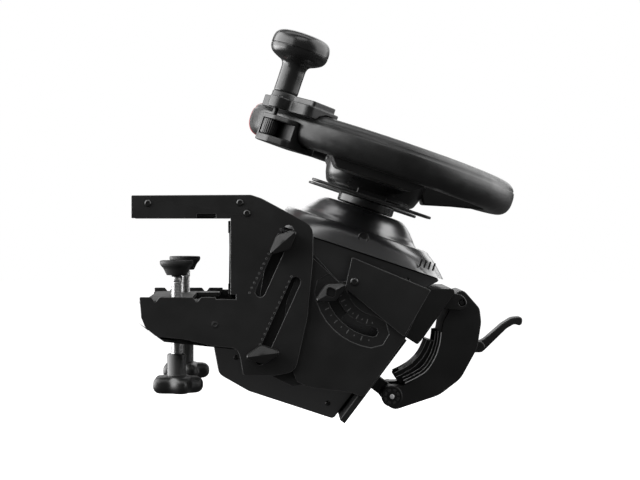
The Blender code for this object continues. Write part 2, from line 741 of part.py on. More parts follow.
def steering_shaft():
    profile = [(0, HUB_BOTTOM - 10.2), (SHAFT_R, HUB_BOTTOM - 10.2), (SHAFT_R, -198.0), (0, -198.0)]
    turned("steering_shaft", profile, WHEEL, BEARING_STEEL, WHEEL_CENTRE)
    low, high = PULLEY_BAND
    bore = SHAFT_R + GAP
    ring = [(bore, high), (LARGE_PULLEY_R, high), (LARGE_PULLEY_R, low), (bore, low)]
    turned("shaft_pulley", ring, WHEEL, SATIN_PLASTIC, WHEEL_CENTRE, 40)
    collar_top = HUB_BOTTOM - GAP
    collar = [(0, collar_top), (28.5, collar_top), (29.5, collar_top - 1), (29.5, collar_top - 8.2)]
    collar += [(28.5, collar_top - 9.2), (0, collar_top - 9.2)]
    turned("wheel_collar", collar, WHEEL, SATIN_PLASTIC, WHEEL_CENTRE, 32)


def wheel_hub():
    rings = [
        oval_ring(HUB_BOTTOM, 31.0, 31.0, 2),
        oval_ring(-41.0, 35.0, 35.0, 2.2),
        oval_ring(-36.6, 45.5, 44.5, 2.8),
        oval_ring(-26.7, 49.8, 48.5, 3.2),
        oval_ring(-12.5, 52.0, 50.0, 3.4),
        oval_ring(-12.2, 50.5, 48.5, 3.4),
    ]
    lofted("wheel_hub", rings, WHEEL, SATIN_PLASTIC, WHEEL_CENTRE)


def rim_ring(radial, axial, around=40, section=12, power=2.4):
    """Rings of the rim's rounded section about the wheel's axis."""
    rings = []
    for i in range(around):
        t = 2 * math.pi * i / around
        ring = []
        for k in range(section):
            s = 2 * math.pi * k / section
            reach = (abs(math.cos(s) / radial) ** power + abs(math.sin(s) / axial) ** power) ** (-1 / power)
            across = RIM_RADIUS + reach * math.cos(s)
            ring.append((across * math.cos(t), across * math.sin(t), RIM_HEIGHT + reach * math.sin(s)))
        rings.append(ring)
    return rings


def button_places():
    """The four face buttons' centres in the wheel's plane."""
    places = {}
    for label, side in SIDES.items():
        places[label + "_upper"] = (-BUTTON_A, side * BUTTON_B)
        places[label + "_lower"] = (BUTTON_A, side * BUTTON_B)
    return places


def wheel_rim():
    rim = lofted("wheel_rim", rim_ring(RIM_RADIAL, RIM_AXIAL), WHEEL, RIM_RUBBER, WHEEL_CENTRE, closed=True)
    plate = [oval_ring(-11.9, 50.0, 50.0, 3.2), oval_ring(-2.0, 46.0, 50.0, 3.2)]
    join(rim, lofted("rim_face", plate, WHEEL, SATIN_PLASTIC, WHEEL_CENTRE))
    spoke = rounded([(-54, -12, 4), (-44, -24, 6), (32, -24, 8), (48, -12, 4), (28, -2, 4), (-46, -2, 4)], 3)
    for label, side in SIDES.items():
        outer = span(side, 50.8, 114)
        inner = span(side, 38, 54)
        join(rim, prism(f"rim_{label}_spoke", spoke, *outer, WHEEL_SIDE, SATIN_PLASTIC, WHEEL_CENTRE))
        root = [(-42, -11.4), (40, -11.4), (28, -2.4), (-42, -2.4)]
        join(rim, prism(f"rim_{label}_root", root, *inner, WHEEL_SIDE, SATIN_PLASTIC, WHEEL_CENTRE))
    lower = rounded([(54, -30, 3), (85, -21.5, 10), (114, -15, 3), (114, -7, 3), (54, -4, 3)], 3)
    join(rim, prism("rim_lower_spoke", lower, -22, 22, WHEEL_SIDE, SATIN_PLASTIC, WHEEL_CENTRE))
    root = [(40, -11.5), (56, -11.5), (56, -4.5), (40, -2.6)]
    join(rim, prism("rim_lower_root", root, -21, 21, WHEEL_SIDE, SATIN_PLASTIC, WHEEL_CENTRE))
    for tag, place in button_places().items():
        here = wheel_frame_at(*place)
        cut(rim, prism(f"{tag}_button_hole", circle(BUTTON_R + GAP, 20), -9.0, 5.0, here, SATIN_PLASTIC))
        cap = [(0, -7.2), (BUTTON_R, -7.2), (BUTTON_R, -0.2), (BUTTON_R - 1, 0.8), (0, 0.8)]
        turned(f"{tag}_button", cap, here, SATIN_PLASTIC, here.translation, 20)


def paddles():
    """Shift paddles behind the spokes, each hinged at the hub."""
    corners = [(-18, 53, 3), (-60, 72, 8), (-62, 100, 10), (-30, 110, 20), (30, 110, 20), (60, 100, 10)]
    corners += [(58, 72, 8), (18, 53, 3)]
    for label, side in SIDES.items():
        outline = rounded([(a, side * b, r) for a, b, r in corners], 4)
        hinge = WHEEL @ Vector((0, side * 54.0, -37.0))
        name = label + "_paddle"
        blade = prism(name, outline, -43.0, -40.4, WHEEL, SATIN_PLASTIC, hinge)
        lug_y = span(side, 51.5, 57.0)
        lug = box(name + "_lug", (-15, lug_y[0], -42.0), (15, lug_y[1], -34.5), SATIN_PLASTIC, WHEEL, hinge)
        join(blade, lug)


# Spinner knob and its clamp


def knob_clamp():
    here = clamp_frame()
    corners = [(104, -44, 6), (132, -44, 8), (146, -30, 8), (146, -12, 4), (159, -9, 8), (159, 9, 8)]
    corners += [(146, 12, 4), (146, 40, 8), (104, 40, 6)]
    plate = prism("knob_clamp_top", rounded(corners), 12.0, 23.0, here, SATIN_PLASTIC, WHEEL_CENTRE)
    lug = rounded([(110, 6, 3), (140, 6, 3), (140, 38, 3), (110, 38, 3)])
    join(plate, prism("clamp_top_lug", lug, 20.0, 28.5, here, SATIN_PLASTIC, WHEEL_CENTRE))
    seat = rim_ring(RIM_RADIAL + 3 * GAP, RIM_AXIAL + 3 * GAP, 60, 14)
    bed = lofted("clamp_top_bed", seat, WHEEL, ZINC, closed=True)
    cut(plate, bed)
    stud_hole = circle(2.8, 12, THUMBWHEEL_AT)
    cut(plate, prism("clamp_top_hole", stud_hole, 5, 30, here, ZINC))
    block = [(106, -20, 6), (146, -20, 8), (158, -9, 8), (158, 9, 8), (149, 26, 8), (108, 26, 6)]
    jaw = prism("knob_clamp_jaw", rounded(block), -22.0, 5.0, here, SATIN_PLASTIC, WHEEL_CENTRE)
    cut(jaw, bed)
    low, high = -15.0 - GAP, GAP
    cut(jaw, prism("jaw_pocket", circle(8.6, 24, THUMBWHEEL_AT), low, high, here, ZINC))
    window = [(143, -4), (143, 35), (170, 35), (170, -4)]
    cut(jaw, prism("jaw_window", window, low, high, here, ZINC))
    cut(jaw, prism("jaw_stud_hole", stud_hole, low, 10, here, ZINC))
    axis = here @ Vector((*THUMBWHEEL_AT, 0))
    there = here @ Matrix.Translation((*THUMBWHEEL_AT, 0))
    knurl = [(0, -15.0), (7.4, -15.0), (8.0, -14.4), (8.0, -0.6), (7.4, 0), (2.5, 0), (2.5, 24.5), (0, 24.5)]
    turned("knob_clamp_thumbwheel", knurl, there, ZINC, axis, 20)


def spinner_knob():
    here = wheel_frame_at(*KNOB_AT)
    pin_r = 4.0
    post = [(0, 23.3), (12.8, 23.3), (12.8, 30.0), (12.0, 31.0), (pin_r, 31.0), (pin_r, 70.0), (0, 70.0)]
    turned("knob_post", post, here, SATIN_PLASTIC, WHEEL_CENTRE)
    stem_low = 31.0 + GAP
    knob = [(0, 70.5), (pin_r + GAP, 70.5), (pin_r + GAP, stem_low), (11.8, stem_low), (12.3, 33.0)]
    knob += [(12.3, 50.0), (12.6, 57.0), (15.0, 61.5), (21.5, 64.0), (26.6, 67.2), (29.0, 72.0)]
    knob += [(29.3, 77.0), (29.0, 82.0), (27.0, 87.0), (22.0, 90.2), (12.0, 91.9), (0, 92.2)]
    turned("spinner_knob", knob, here, SATIN_PLASTIC, here.translation, 20)


# Base clamp


def arm_outline():
    """The clamp arm's C shape, from its hinge round to the fork that holds the pad."""
    return rounded(
        [
            (226.0, -74.0, 8),
            (234.0, -71.8, 6),
            (250.0, -90.0, 10),
            (251.6, -104.0, 20),
            (247.6, -130.0, 30),
            (231.0, -160.5, 25),
            (209.5, -177.0, 30),
            (164.0, -192.2, 10),
            (149.5, -181.0, 10),
            (155.0, -168.0, 8),
            (173.0, -167.5, 10),
            (196.0, -155.5, 20),
            (208.0, -134.0, 20),
            (213.0, -103.0, 20),
            (219.5, -92.0, 6),
        ],
        steps=3,
    )


def clamp_arm():
    hinge = (ARM_HINGE[0], 0, ARM_HINGE[1])
    half = ARM_HALF_WIDTH
    arm = prism("clamp_arm", arm_outline(), -half, half, SIDE_VIEW, SATIN_PLASTIC, hinge)
    rib = [(214, -128, 2), (198, -122, 2), (190.4, -139.5, 12), (174.8, -152.4, 12), (164, -157.5, 2)]
    rib += [(172, -169.5, 2), (196, -160, 8)]
    join(arm, prism("arm_rib", rounded(rib), -16, 16, SIDE_VIEW, SATIN_PLASTIC, hinge))
    fork = [(177.5, -160.0, 4), (177.5, -195.0, 0), (140.0, -200.0, 0), (140.0, -150.0, 0), (165, -150, 0)]
    cut(arm, prism("arm_fork", rounded(fork), -12.5, 12.5, SIDE_VIEW, SATIN_PLASTIC))
    join(arm, prism("arm_pad_pin", circle(PIN_R, 16, PAD_PIN), -half - 1, half + 1, SIDE_VIEW, ZINC))
    join(arm, prism("arm_hinge_pin", circle(PIN_R, 16, ARM_HINGE), -half - 6, half + 6, SIDE_VIEW, ZINC))
    for label, side in SIDES.items():
        corners = [(259.8, -130.5, 5), (254.5, -125.0, 5), (244, -124, 1), (244, -136, 1), (254.5, -136, 5)]
        ear = rounded(corners, 4)
        reach = span(side, 9.5, 13.5)
        join(arm, prism(f"arm_{label}_ear", ear, *reach, SIDE_VIEW, SATIN_PLASTIC, hinge))
    join(arm, prism("arm_lever_pin", circle(1.8, 12, LEVER_PIN), -13, 13, SIDE_VIEW, ZINC))


def clamp_lever():
    """A bent finger lever."""
    pin = (LEVER_PIN[0], 0, LEVER_PIN[1])
    outline = rounded(
        [
            (250.2, -134.6, 3),
            (250.4, -126.5, 3),
            (258.0, -122.7, 8),
            (275.9, -107.2, 12),
            (285.5, -101.2, 8),
            (296.6, -99.8, 3),
            (295.6, -110.0, 3),
            (288.0, -107.4, 5),
            (280.0, -112.2, 8),
            (264.4, -127.4, 10),
            (256.5, -135.2, 4),
        ],
        steps=3,
    )
    lever = prism("clamp_lever", outline, -9, 9, SIDE_VIEW, SATIN_PLASTIC, pin)
    cut(lever, prism("lever_bore", circle(2.1, 12, LEVER_PIN), -15, 15, SIDE_VIEW, ZINC))


def clamp_pad():
    """The swivelling pad that presses on the mounting board."""
    pin = (PAD_PIN[0], 0, PAD_PIN[1])
    lower, upper = (Vector(end) for end in BOARD_ENDS)
    along = (upper - lower).normalized()
    away = Vector((along.y, -along.x))
    reach = (Vector(PAD_PIN) - lower).dot(away) - BOARD_THICK / 2 - GAP
    here = frame(pin, (along.x, 0, along.y), (-away.x, 0, -away.y), (0, 1, 0))
    plate = rounded([(-18, reach, 1), (18, reach, 1), (17, reach - 6, 2), (-17, reach - 6, 2)], 2)
    pad = prism("clamp_arm_pad", plate, -26, 26, here, RUBBER, pin)
    stem = rounded([(-7, reach - 3, 0), (7, reach - 3, 0), (7.2, -1, 6), (0, -8.4, 6), (-7.2, -1, 6)], 4)
    join(pad, prism("pad_stem", stem, -12, 12, here, RUBBER, pin))
    cut(pad, prism("pad_bore", circle(PIN_R + GAP, 16), -14, 14, here, RUBBER, pin))


def main():
    clear_scene()
    desk_bracket()
    lower_tray()
    clamp_screws()
    height_carrier()
    wing_knobs()
    tilt_cradle()
    base_housing()
    base_cover()
    clamp_root()
    drive()
    steering_shaft()
    wheel_hub()
    wheel_rim()
    paddles()
    knob_clamp()
    spinner_knob()
    clamp_arm()
    clamp_lever()
    clamp_pad()


main()
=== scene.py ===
"""The looks of the desk-clamped racing wheel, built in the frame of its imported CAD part.

Lengths here are in millimetres, and a mesh is scaled to metres as it is made. X runs from the desk towards
the driver, Y from the driver's left to the right, and Z up. Turning axes and centres come from the packed
joints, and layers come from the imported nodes' boxes.
"""

import json
import math

import bmesh
import bpy
from mathutils import Matrix, Vector


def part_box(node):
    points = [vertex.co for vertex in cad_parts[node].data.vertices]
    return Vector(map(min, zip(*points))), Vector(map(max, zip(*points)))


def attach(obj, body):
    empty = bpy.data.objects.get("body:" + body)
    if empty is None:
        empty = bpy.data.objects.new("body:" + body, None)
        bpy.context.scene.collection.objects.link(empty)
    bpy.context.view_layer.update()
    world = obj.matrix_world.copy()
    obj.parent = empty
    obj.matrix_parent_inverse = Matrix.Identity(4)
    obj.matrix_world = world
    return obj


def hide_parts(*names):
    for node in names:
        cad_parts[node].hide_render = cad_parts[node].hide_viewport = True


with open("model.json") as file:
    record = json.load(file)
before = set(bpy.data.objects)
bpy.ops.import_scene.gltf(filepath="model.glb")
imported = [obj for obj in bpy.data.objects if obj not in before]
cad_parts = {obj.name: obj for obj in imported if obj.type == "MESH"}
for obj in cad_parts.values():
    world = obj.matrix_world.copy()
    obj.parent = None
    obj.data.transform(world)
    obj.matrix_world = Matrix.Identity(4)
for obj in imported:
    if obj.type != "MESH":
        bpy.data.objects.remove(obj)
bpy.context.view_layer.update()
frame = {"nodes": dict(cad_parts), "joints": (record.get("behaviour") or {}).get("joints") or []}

MM = 0.001
SIDES = {"left": -1, "right": 1}
SHARP = 38.0

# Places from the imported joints
JOINTS = {joint["name"]: joint for joint in frame["joints"]}


def pivot(joint):
    return Vector(JOINTS[joint]["pos_m"]) / MM


def box_of(node):
    """Lowest and highest corner of a CAD node, in millimetres."""
    return tuple(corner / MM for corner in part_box(node))


def outer_y(node, side):
    """How far a node reaches from the middle plane on its own side."""
    return abs(box_of(node)[0 if side < 0 else 1].y)


def frame_at(origin, u, v, w):
    return Matrix.Translation(Vector(origin)) @ Matrix((u, v, w)).transposed().to_4x4()


WHEEL_CENTRE = pivot("steering")
WHEEL_N = Vector(JOINTS["steering"]["axis"]).normalized()
WHEEL_E = Vector((0, 1, 0)).cross(WHEEL_N)
WHEEL = frame_at(WHEEL_CENTRE, WHEEL_E, (0, 1, 0), WHEEL_N)
LEVEL = Matrix.Identity(4)

# Sizes shared with the part
GAP = 0.3
RIM_RADIUS, RIM_RADIAL, RIM_AXIAL, RIM_HEIGHT = 125.0, 15.0, 17.0, 1.5
THREAD_PITCH = 1.5
SPINDLE_R = 5.5
BUTTON_R = 6.0
PAD_PIN = (162.1, -178.2)
CHEEK_SCREW = (121.6, -60.4)
PLATE_SCREWS = ((-77.0, 15.1), (11.6, 15.7), (18.3, 5.5))
RIVET = (-12.5, -102.0)
HANDLE_R, STAR_TALL, STAR_ROUND = 26.0, 16.0, 7.0
WING_TALL, WING_SLOPE = 13.5, 0.42
KNOB_LEANS = {"upper": 41.0, "lower": 8.0, "tilt": 29.0}
ARM_HALF_WIDTH = 34.0
SLOT_SCALES = (((51.0, -10.4), (20.7, -71.2)), ((61.2, -55.7), (30.8, -121.2)))
SCALE_DOTS = 14
TILT_MARKS = (math.radians(192.0), math.radians(259.0))


# Finishes


class Finish:
    """A Principled material and the nodes that vary it over the object's own coordinates."""

    def __init__(self, name, color, roughness, **sockets):
        self.material = bpy.data.materials.new(name)
        self.material.use_nodes = True
        self.tree = self.material.node_tree
        self.shader = self.tree.nodes["Principled BSDF"]
        self.shader.inputs["Base Color"].default_value = (*color, 1.0)
        self.shader.inputs["Roughness"].default_value = roughness
        for socket, value in sockets.items():
            self.shader.inputs[socket.replace("_", " ")].default_value = value
        self.coords = self.tree.nodes.new("ShaderNodeTexCoord").outputs["Object"]
        self.normal = None

    def node(self, kind, settings, links=()):
        """A node with its socket values set and its other sockets linked."""
        made = self.tree.nodes.new(kind)
        for socket, value in settings.items():
            made.inputs[socket].default_value = value
        for socket, source in links:
            self.tree.links.new(source, made.inputs[socket])
        return made

    def stretched(self, scale):
        """The coordinates scaled by axis, so that a texture runs along one of them."""
        return self.node("ShaderNodeMapping", {"Scale": scale}, [("Vector", self.coords)]).outputs["Vector"]

    def noise(self, scale, detail=3.0, coords=None):
        settings = {"Scale": scale, "Detail": detail}
        made = self.node("ShaderNodeTexNoise", settings, [("Vector", coords or self.coords)])
        return made.outputs["Fac"]

    def cells(self, scale):
        made = self.node("ShaderNodeTexVoronoi", {"Scale": scale}, [("Vector", self.coords)])
        return made.outputs["Distance"]

    def spread(self, source, low, high, start=0.3, end=0.7):
        """A texture value moved from start..end to low..high."""
        limits = {"From Min": start, "From Max": end, "To Min": low, "To Max": high}
        return self.node("ShaderNodeMapRange", limits, [("Value", source)]).outputs["Result"]

    def tint(self, source, dark, light, start=0.3, end=0.7):
        """Base colour between two shades."""
        ramp = self.tree.nodes.new("ShaderNodeValToRGB")
        ramp.color_ramp.elements[0].position = start
        ramp.color_ramp.elements[1].position = end
        ramp.color_ramp.elements[0].color = (*dark, 1.0)
        ramp.color_ramp.elements[1].color = (*light, 1.0)
        self.tree.links.new(source, ramp.inputs["Fac"])
        self.tree.links.new(ramp.outputs["Color"], self.shader.inputs["Base Color"])

    def gloss(self, source, low, high):
        self.tree.links.new(self.spread(source, low, high), self.shader.inputs["Roughness"])

    def relief(self, source, depth, strength=1.0):
        """Adds a bump of that depth in millimetres over the ones before it."""
        links = [("Height", source)] + ([("Normal", self.normal)] if self.normal else [])
        made = self.node("ShaderNodeBump", {"Strength": strength, "Distance": depth * MM}, links)
        self.normal = made.outputs["Normal"]
        self.tree.links.new(self.normal, self.shader.inputs["Normal"])


def powder_coat(name, shade, roughness):
    """Baked powder paint: a fine orange peel under a dusting of finer grain."""
    made = Finish(name, (shade, shade, shade * 1.04), roughness, IOR=1.4)
    made.tint(made.noise(14.0, 5.0), [shade * 0.8] * 3, [shade * 1.2] * 3)
    made.gloss(made.noise(55.0, 4.0), roughness - 0.06, roughness + 0.06)
    made.relief(made.noise(420.0, 2.0), 0.05, 0.5)
    made.relief(made.noise(1900.0, 2.0), 0.03, 0.5)
    return made.material


def moulded_plastic(name, shade, low, high, grain=0.03):
    """Injection-moulded plastic with a spark-eroded grain and faint handling marks."""
    made = Finish(name, (shade, shade, shade), (low + high) / 2, IOR=1.5)
    made.tint(made.noise(18.0, 4.0), [shade * 0.85] * 3, [shade * 1.15] * 3)
    made.gloss(made.noise(35.0, 6.0), low, high)
    made.relief(made.cells(1500.0), grain, 0.5)
    made.relief(made.noise(60.0, 2.0), 0.05, 0.15)
    return made.material


def gloss_plastic():
    """Black plastic under a clear coat, slightly wavy, with a few duller patches."""
    made = Finish("gloss_plastic", (0.008, 0.008, 0.009), 0.3,
                  IOR=2.0, Coat_Weight=1.0, Coat_Roughness=0.28)
    made.gloss(made.noise(26.0, 6.0), 0.26, 0.36)
    made.relief(made.noise(22.0, 2.0), 0.12, 0.15)
    return made.material


def grip_leather():
    """Smooth leather: fine cells, creased a little, with a low sheen."""
    made = Finish("grip_leather", (0.009, 0.009, 0.009), 0.4)
    made.tint(made.noise(30.0, 5.0), [0.006] * 3, [0.012] * 3)
    made.gloss(made.noise(90.0, 5.0), 0.3, 0.44)
    made.relief(made.cells(800.0), 0.09, 0.5)
    made.relief(made.noise(240.0, 4.0), 0.08, 0.35)
    return made.material


def rubber():
    """Matt rubber with a dusty bloom."""
    made = Finish("rubber", (0.008, 0.008, 0.008), 0.75)
    made.tint(made.noise(45.0, 6.0), [0.005] * 3, [0.012] * 3)
    made.gloss(made.noise(70.0), 0.55, 0.8)
    made.relief(made.noise(900.0, 3.0), 0.08, 0.6)
    return made.material


def metal(name, shade, low, high):
    """Bare or plated steel with fine tool marks that run along one axis."""
    made = Finish(name, (shade, shade, shade * 1.02), (low + high) / 2, Metallic=1.0)
    marks = made.noise(160.0, 4.0, made.stretched((1, 1, 24)))
    made.tint(made.noise(38.0, 5.0), [shade * 0.8] * 3, [shade * 1.05] * 3)
    made.gloss(marks, low, high)
    made.relief(marks, 0.02, 0.35)
    return made.material


def circuit_board():
    """Green solder mask over a pattern of tracks."""
    made = Finish("solder_mask", (0.02, 0.1, 0.045), 0.4, Coat_Weight=0.4)
    tracks = made.node("ShaderNodeTexBrick", {"Scale": 260.0}, [("Vector", made.coords)]).outputs["Fac"]
    made.tint(tracks, (0.012, 0.07, 0.03), (0.03, 0.17, 0.07))
    made.relief(tracks, 0.04, 0.6)
    return made.material


def paint(name, color, roughness):
    """A thin printed or dyed colour, slightly uneven."""
    made = Finish(name, color, roughness)
    made.tint(made.noise(400.0, 4.0), [c * 0.75 for c in color], color)
    made.relief(made.noise(700.0), 0.03, 0.4)
    return made.material


LOOKS = {
    "powder_coat": powder_coat("powder_coat", 0.0095, 0.5),
    # A darker copy of the powder coat, for the tray: painted shade where a desk above would shade it.
    "powder_painted_shade": powder_coat("powder_coat_painted_shade", 0.003, 0.6),
    # Lighter, glossier coat for bevelled edges: part wear, part painted highlight.
    "powder_edge_wear_and_highlight": powder_coat("powder_coat_edge_wear_and_highlight", 0.05, 0.34),
    "satin_plastic": moulded_plastic("satin_plastic", 0.007, 0.34, 0.48),
    "smooth_plastic": moulded_plastic("smooth_plastic", 0.008, 0.22, 0.34, grain=0.012),
    # Pale grey plastic for the arm's rib beads: a painted highlight, not the plastic's own colour.
    "pale_plastic_painted_highlight": moulded_plastic("pale_plastic_painted_highlight", 0.5, 0.3, 0.42),
    "nylon": moulded_plastic("pale_nylon", 0.75, 0.4, 0.55),
    "gloss_plastic": gloss_plastic(),
    "grip": grip_leather(),
    "rubber": rubber(),
    "zinc": metal("zinc_plate", 0.52, 0.24, 0.4),
    "dark_steel": metal("blackened_steel", 0.06, 0.3, 0.45),
    "screw_steel": metal("black_zinc_screw", 0.09, 0.26, 0.4),
    "bearing_steel": metal("bearing_steel", 0.6, 0.16, 0.28),
    "circuit": circuit_board(),
    "marks": paint("scale_marks", (0.11, 0.11, 0.11), 0.6),
    "red": paint("centre_band", (0.3, 0.012, 0.016), 0.5),
    "thread": paint("seam_thread", (0.03, 0.03, 0.03), 0.7),
    # Near-black for holes and openings that are not cut: painted shade.
    "dark": paint("painted_shade_black", (0.004, 0.004, 0.004), 0.7),
}


# Outlines


def rounded(corners, steps=8):
    """Points of a closed outline of (u, v, radius) corners, each round stretch an arc."""
    points = []
    for i, (u, v, radius) in enumerate(corners):
        here = Vector((u, v))
        back = (Vector(corners[i - 1][:2]) - here).normalized()
        ahead = (Vector(corners[(i + 1) % len(corners)][:2]) - here).normalized()
        half = back.angle(ahead) / 2
        if half > math.radians(89):
            points.append(here)
            continue
        reach = radius / math.tan(half)
        centre = here + (back + ahead).normalized() * radius / math.sin(half)
        start, end = here + back * reach - centre, here + ahead * reach - centre
        turn = start.angle_signed(end)
        for k in range(steps + 1):
            points.append(centre + Matrix.Rotation(-turn * k / steps, 2) @ start)
    return points


def circle(radius, count=48, height=0.0):
    """Points of a circle at one height."""
    angles = [2 * math.pi * k / count for k in range(count)]
    return [(radius * math.cos(t), radius * math.sin(t), height) for t in angles]


def oval_ring(height, half_a, half_b, power, centre_a=0.0, count=144):
    """A ring of a superellipse, from a circle at power 2 towards a rectangle at a high power."""
    points = []
    for k in range(count):
        t = 2 * math.pi * (k + 0.5) / count
        reach = (abs(math.cos(t) / half_a) ** power + abs(math.sin(t) / half_b) ** power) ** (-1 / power)
        points.append((centre_a + reach * math.cos(t), reach * math.sin(t), height))
    return points


def smoothed(rows, steps=4):
    """Rows of numbers with a Catmull-Rom curve run through each column."""
    found = []
    for i in range(len(rows) - 1):
        before, here = rows[max(i - 1, 0)], rows[i]
        after, beyond = rows[i + 1], rows[min(i + 2, len(rows) - 1)]
        for k in range(steps):
            t = k / steps
            found.append(tuple(
                0.5 * (2 * q + (r - p) * t + (2 * p - 5 * q + 4 * r - s) * t * t
                       + (3 * q - p - 3 * r + s) * t ** 3)
                for p, q, r, s in zip(before, here, after, beyond)
            ))
    return found + [tuple(rows[-1])]


def rim_section(angle, grow=0.0, count=72):
    """One section of the rim, grooved where its covering is joined: outside above the middle, and inside."""
    ring = []
    power = 2.4
    for k in range(count):
        s = 2 * math.pi * k / count
        out, up = abs(math.cos(s) / RIM_RADIAL), abs(math.sin(s) / RIM_AXIAL)
        reach = (out ** power + up ** power) ** (-1 / power)
        for place, width, depth in ((math.radians(35), 0.05, 0.8), (math.pi, 0.06, 1.0)):
            reach -= depth * math.exp(-(((s - place) / width) ** 2))
        reach += grow
        across = RIM_RADIUS + reach * math.cos(s)
        height = RIM_HEIGHT + reach * math.sin(s)
        ring.append((across * math.cos(angle), across * math.sin(angle), height))
    return ring


# Pieces


def piece(name, build, where, look, body, stands_for=(), sharp=SHARP):
    """Puts a bmesh in millimetres into the scene as one object that rides on a CAD body."""
    bmesh.ops.transform(build, matrix=where, verts=build.verts)
    bmesh.ops.scale(build, vec=(MM, MM, MM), verts=build.verts)
    bmesh.ops.recalc_face_normals(build, faces=build.faces)
    mesh = bpy.data.meshes.new(name)
    build.to_mesh(mesh)
    build.free()
    mesh.shade_smooth()
    mesh.set_sharp_from_angle(angle=math.radians(sharp))
    mesh.materials.append(LOOKS[look])
    thing = bpy.data.objects.new(name, mesh)
    bpy.context.scene.collection.objects.link(thing)
    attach(thing, body)
    if stands_for:
        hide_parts(*stands_for)
    return thing


def add_rings(build, rings, closed=False, filled=True):
    """Rings of equally many points joined in order, into a bmesh."""
    made = [[build.verts.new(p) for p in ring] for ring in rings]
    count = len(made[0])
    pairs = list(zip(made, made[1:])) + ([(made[-1], made[0])] if closed else [])
    for first, second in pairs:
        for k in range(count):
            m = (k + 1) % count
            build.faces.new((first[k], first[m], second[m], second[k]))
    if filled and not closed:
        build.faces.new(made[0][::-1])
        build.faces.new(made[-1])


def lofted(name, rings, where, look, body, stands_for=(), closed=False, sharp=SHARP):
    build = bmesh.new()
    add_rings(build, rings, closed)
    return piece(name, build, where, look, body, stands_for, sharp)


def turned(name, profile, where, look, body, stands_for=(), count=64, sharp=SHARP):
    """A profile of (radius, height) spun about w, with flat ends."""
    rings = [circle(radius, count, height) for radius, height in profile]
    return lofted(name, rings, where, look, body, stands_for, sharp=sharp)


def prism(name, outline, low, high, where, look, body, slot, stands_for=(), edge=0.5):
    """An outline extruded along w with its edges broken."""
    rings = [[(p[0], p[1], height) for p in outline] for height in (low, high)]
    return eased(lofted(name, rings, where, look, body, stands_for), edge)


def eased(thing, width, segments=3, edge_wear_and_highlight=None):
    """Breaks the hard edges of a mesh, which a second, lighter look can cover: part edge wear, part painted
    highlight.
    """
    step = thing.modifiers.new("Edges", "BEVEL")
    step.width = width * MM
    step.segments = segments
    step.limit_method = "ANGLE"
    step.angle_limit = math.radians(SHARP)
    step.use_clamp_overlap = False
    if edge_wear_and_highlight:
        thing.data.materials.append(LOOKS[edge_wear_and_highlight])
        step.material = len(thing.data.materials) - 1
    shading = thing.modifiers.new("Shading", "WEIGHTED_NORMAL")
    shading.keep_sharp = True
    return thing


def dressed(node, look, edge=0.5, segments=3, edge_wear_and_highlight=None):
    """A CAD node that stays, with its finish, and its edges broken over the welded shape."""
    thing = frame["nodes"][node]
    mesh = thing.data
    if "custom_normal" in mesh.attributes:
        mesh.attributes.remove(mesh.attributes["custom_normal"])
    mesh.shade_smooth()
    for slot in thing.material_slots:
        slot.material = LOOKS[look]
    weld = thing.modifiers.new("Weld", "WELD")
    weld.merge_threshold = 0.002 * MM
    flat = thing.modifiers.new("Flat", "DECIMATE")
    flat.decimate_type = "DISSOLVE"
    flat.angle_limit = math.radians(0.6)
    return eased(thing, edge, segments, edge_wear_and_highlight)


def facing(side, u, v, y):
    """A frame at (u, v) on the part's side whose w points outwards."""
    return frame_at((u, side * y, v), (1, 0, 0), (0, 0, -side), (0, side, 0))


def hexagon(radius, count, height):
    """A hexagon sampled at the same angles as a circle."""
    sixth = math.pi / 3
    points = []
    for k in range(count):
        t = 2 * math.pi * k / count
        reach = radius * math.cos(sixth / 2) / math.cos(t % sixth - sixth / 2)
        points.append((reach * math.cos(t), reach * math.sin(t), height))
    return points


def socket_screw(name, where, radius, body, look="dark_steel"):
    """A button-head screw with a hexagon socket."""
    head = ((1, 0), (1, 0.12), (0.94, 0.3), (0.78, 0.47), (0.58, 0.54))
    rings = [circle(radius * r, 48, radius * h) for r, h in head]
    rings += [hexagon(radius * r, 48, radius * h) for r, h in ((0.5, 0.54), (0.46, 0.48), (0.46, 0.1))]
    return lofted(name, rings, where, look, body)


# Desk bracket


def discs(centres, radius, low, high, side):
    """Small round dots on one side of the part, all in one mesh."""
    build = bmesh.new()
    for u, v in centres:
        foot = [(u + p[0], side * low, v + p[1]) for p in circle(radius, 16)]
        crown = [(u + p[0] * 0.9, side * high, v + p[1] * 0.9) for p in circle(radius, 16)]
        add_rings(build, [foot, crown])
    return build


def slot_scale(label, side, plate_y):
    """Two rows of ringed dots beside the slots; their near-black pits are painted shade standing in for
    holes.
    """
    dots = []
    for start, end in SLOT_SCALES:
        dots += [Vector(start).lerp(Vector(end), k / (SCALE_DOTS - 1)) for k in range(SCALE_DOTS)]
    for tag, radius, rise, look in (("rims", 1.15, 0.08, "marks"), ("painted_shade_pits", 0.8, 0.12, "dark")):
        build = discs(dots, radius, plate_y - 0.02, plate_y + rise, side)
        piece(f"{label}_slot_{tag}", build, LEVEL, look, "bracket")


def jaw_pad_ribs():
    """Ribs across the upper jaw's pad, from its near edge to its far one."""
    ribs = bmesh.new()
    low, high = box_of("jaw_pad")
    inset, pitch, wide = 6, 6, 2
    for k in range(14):
        x = low.x + inset + k * pitch
        near, far = low.y + inset, high.y - inset
        outline = [(x, near), (x + wide, near), (x + wide, far), (x, far)]
        add_rings(ribs, [[(p[0], p[1], z) for p in outline] for z in (0.05, 0.5)])
    piece("jaw_pad_ribs", ribs, LEVEL, "rubber", "bracket")


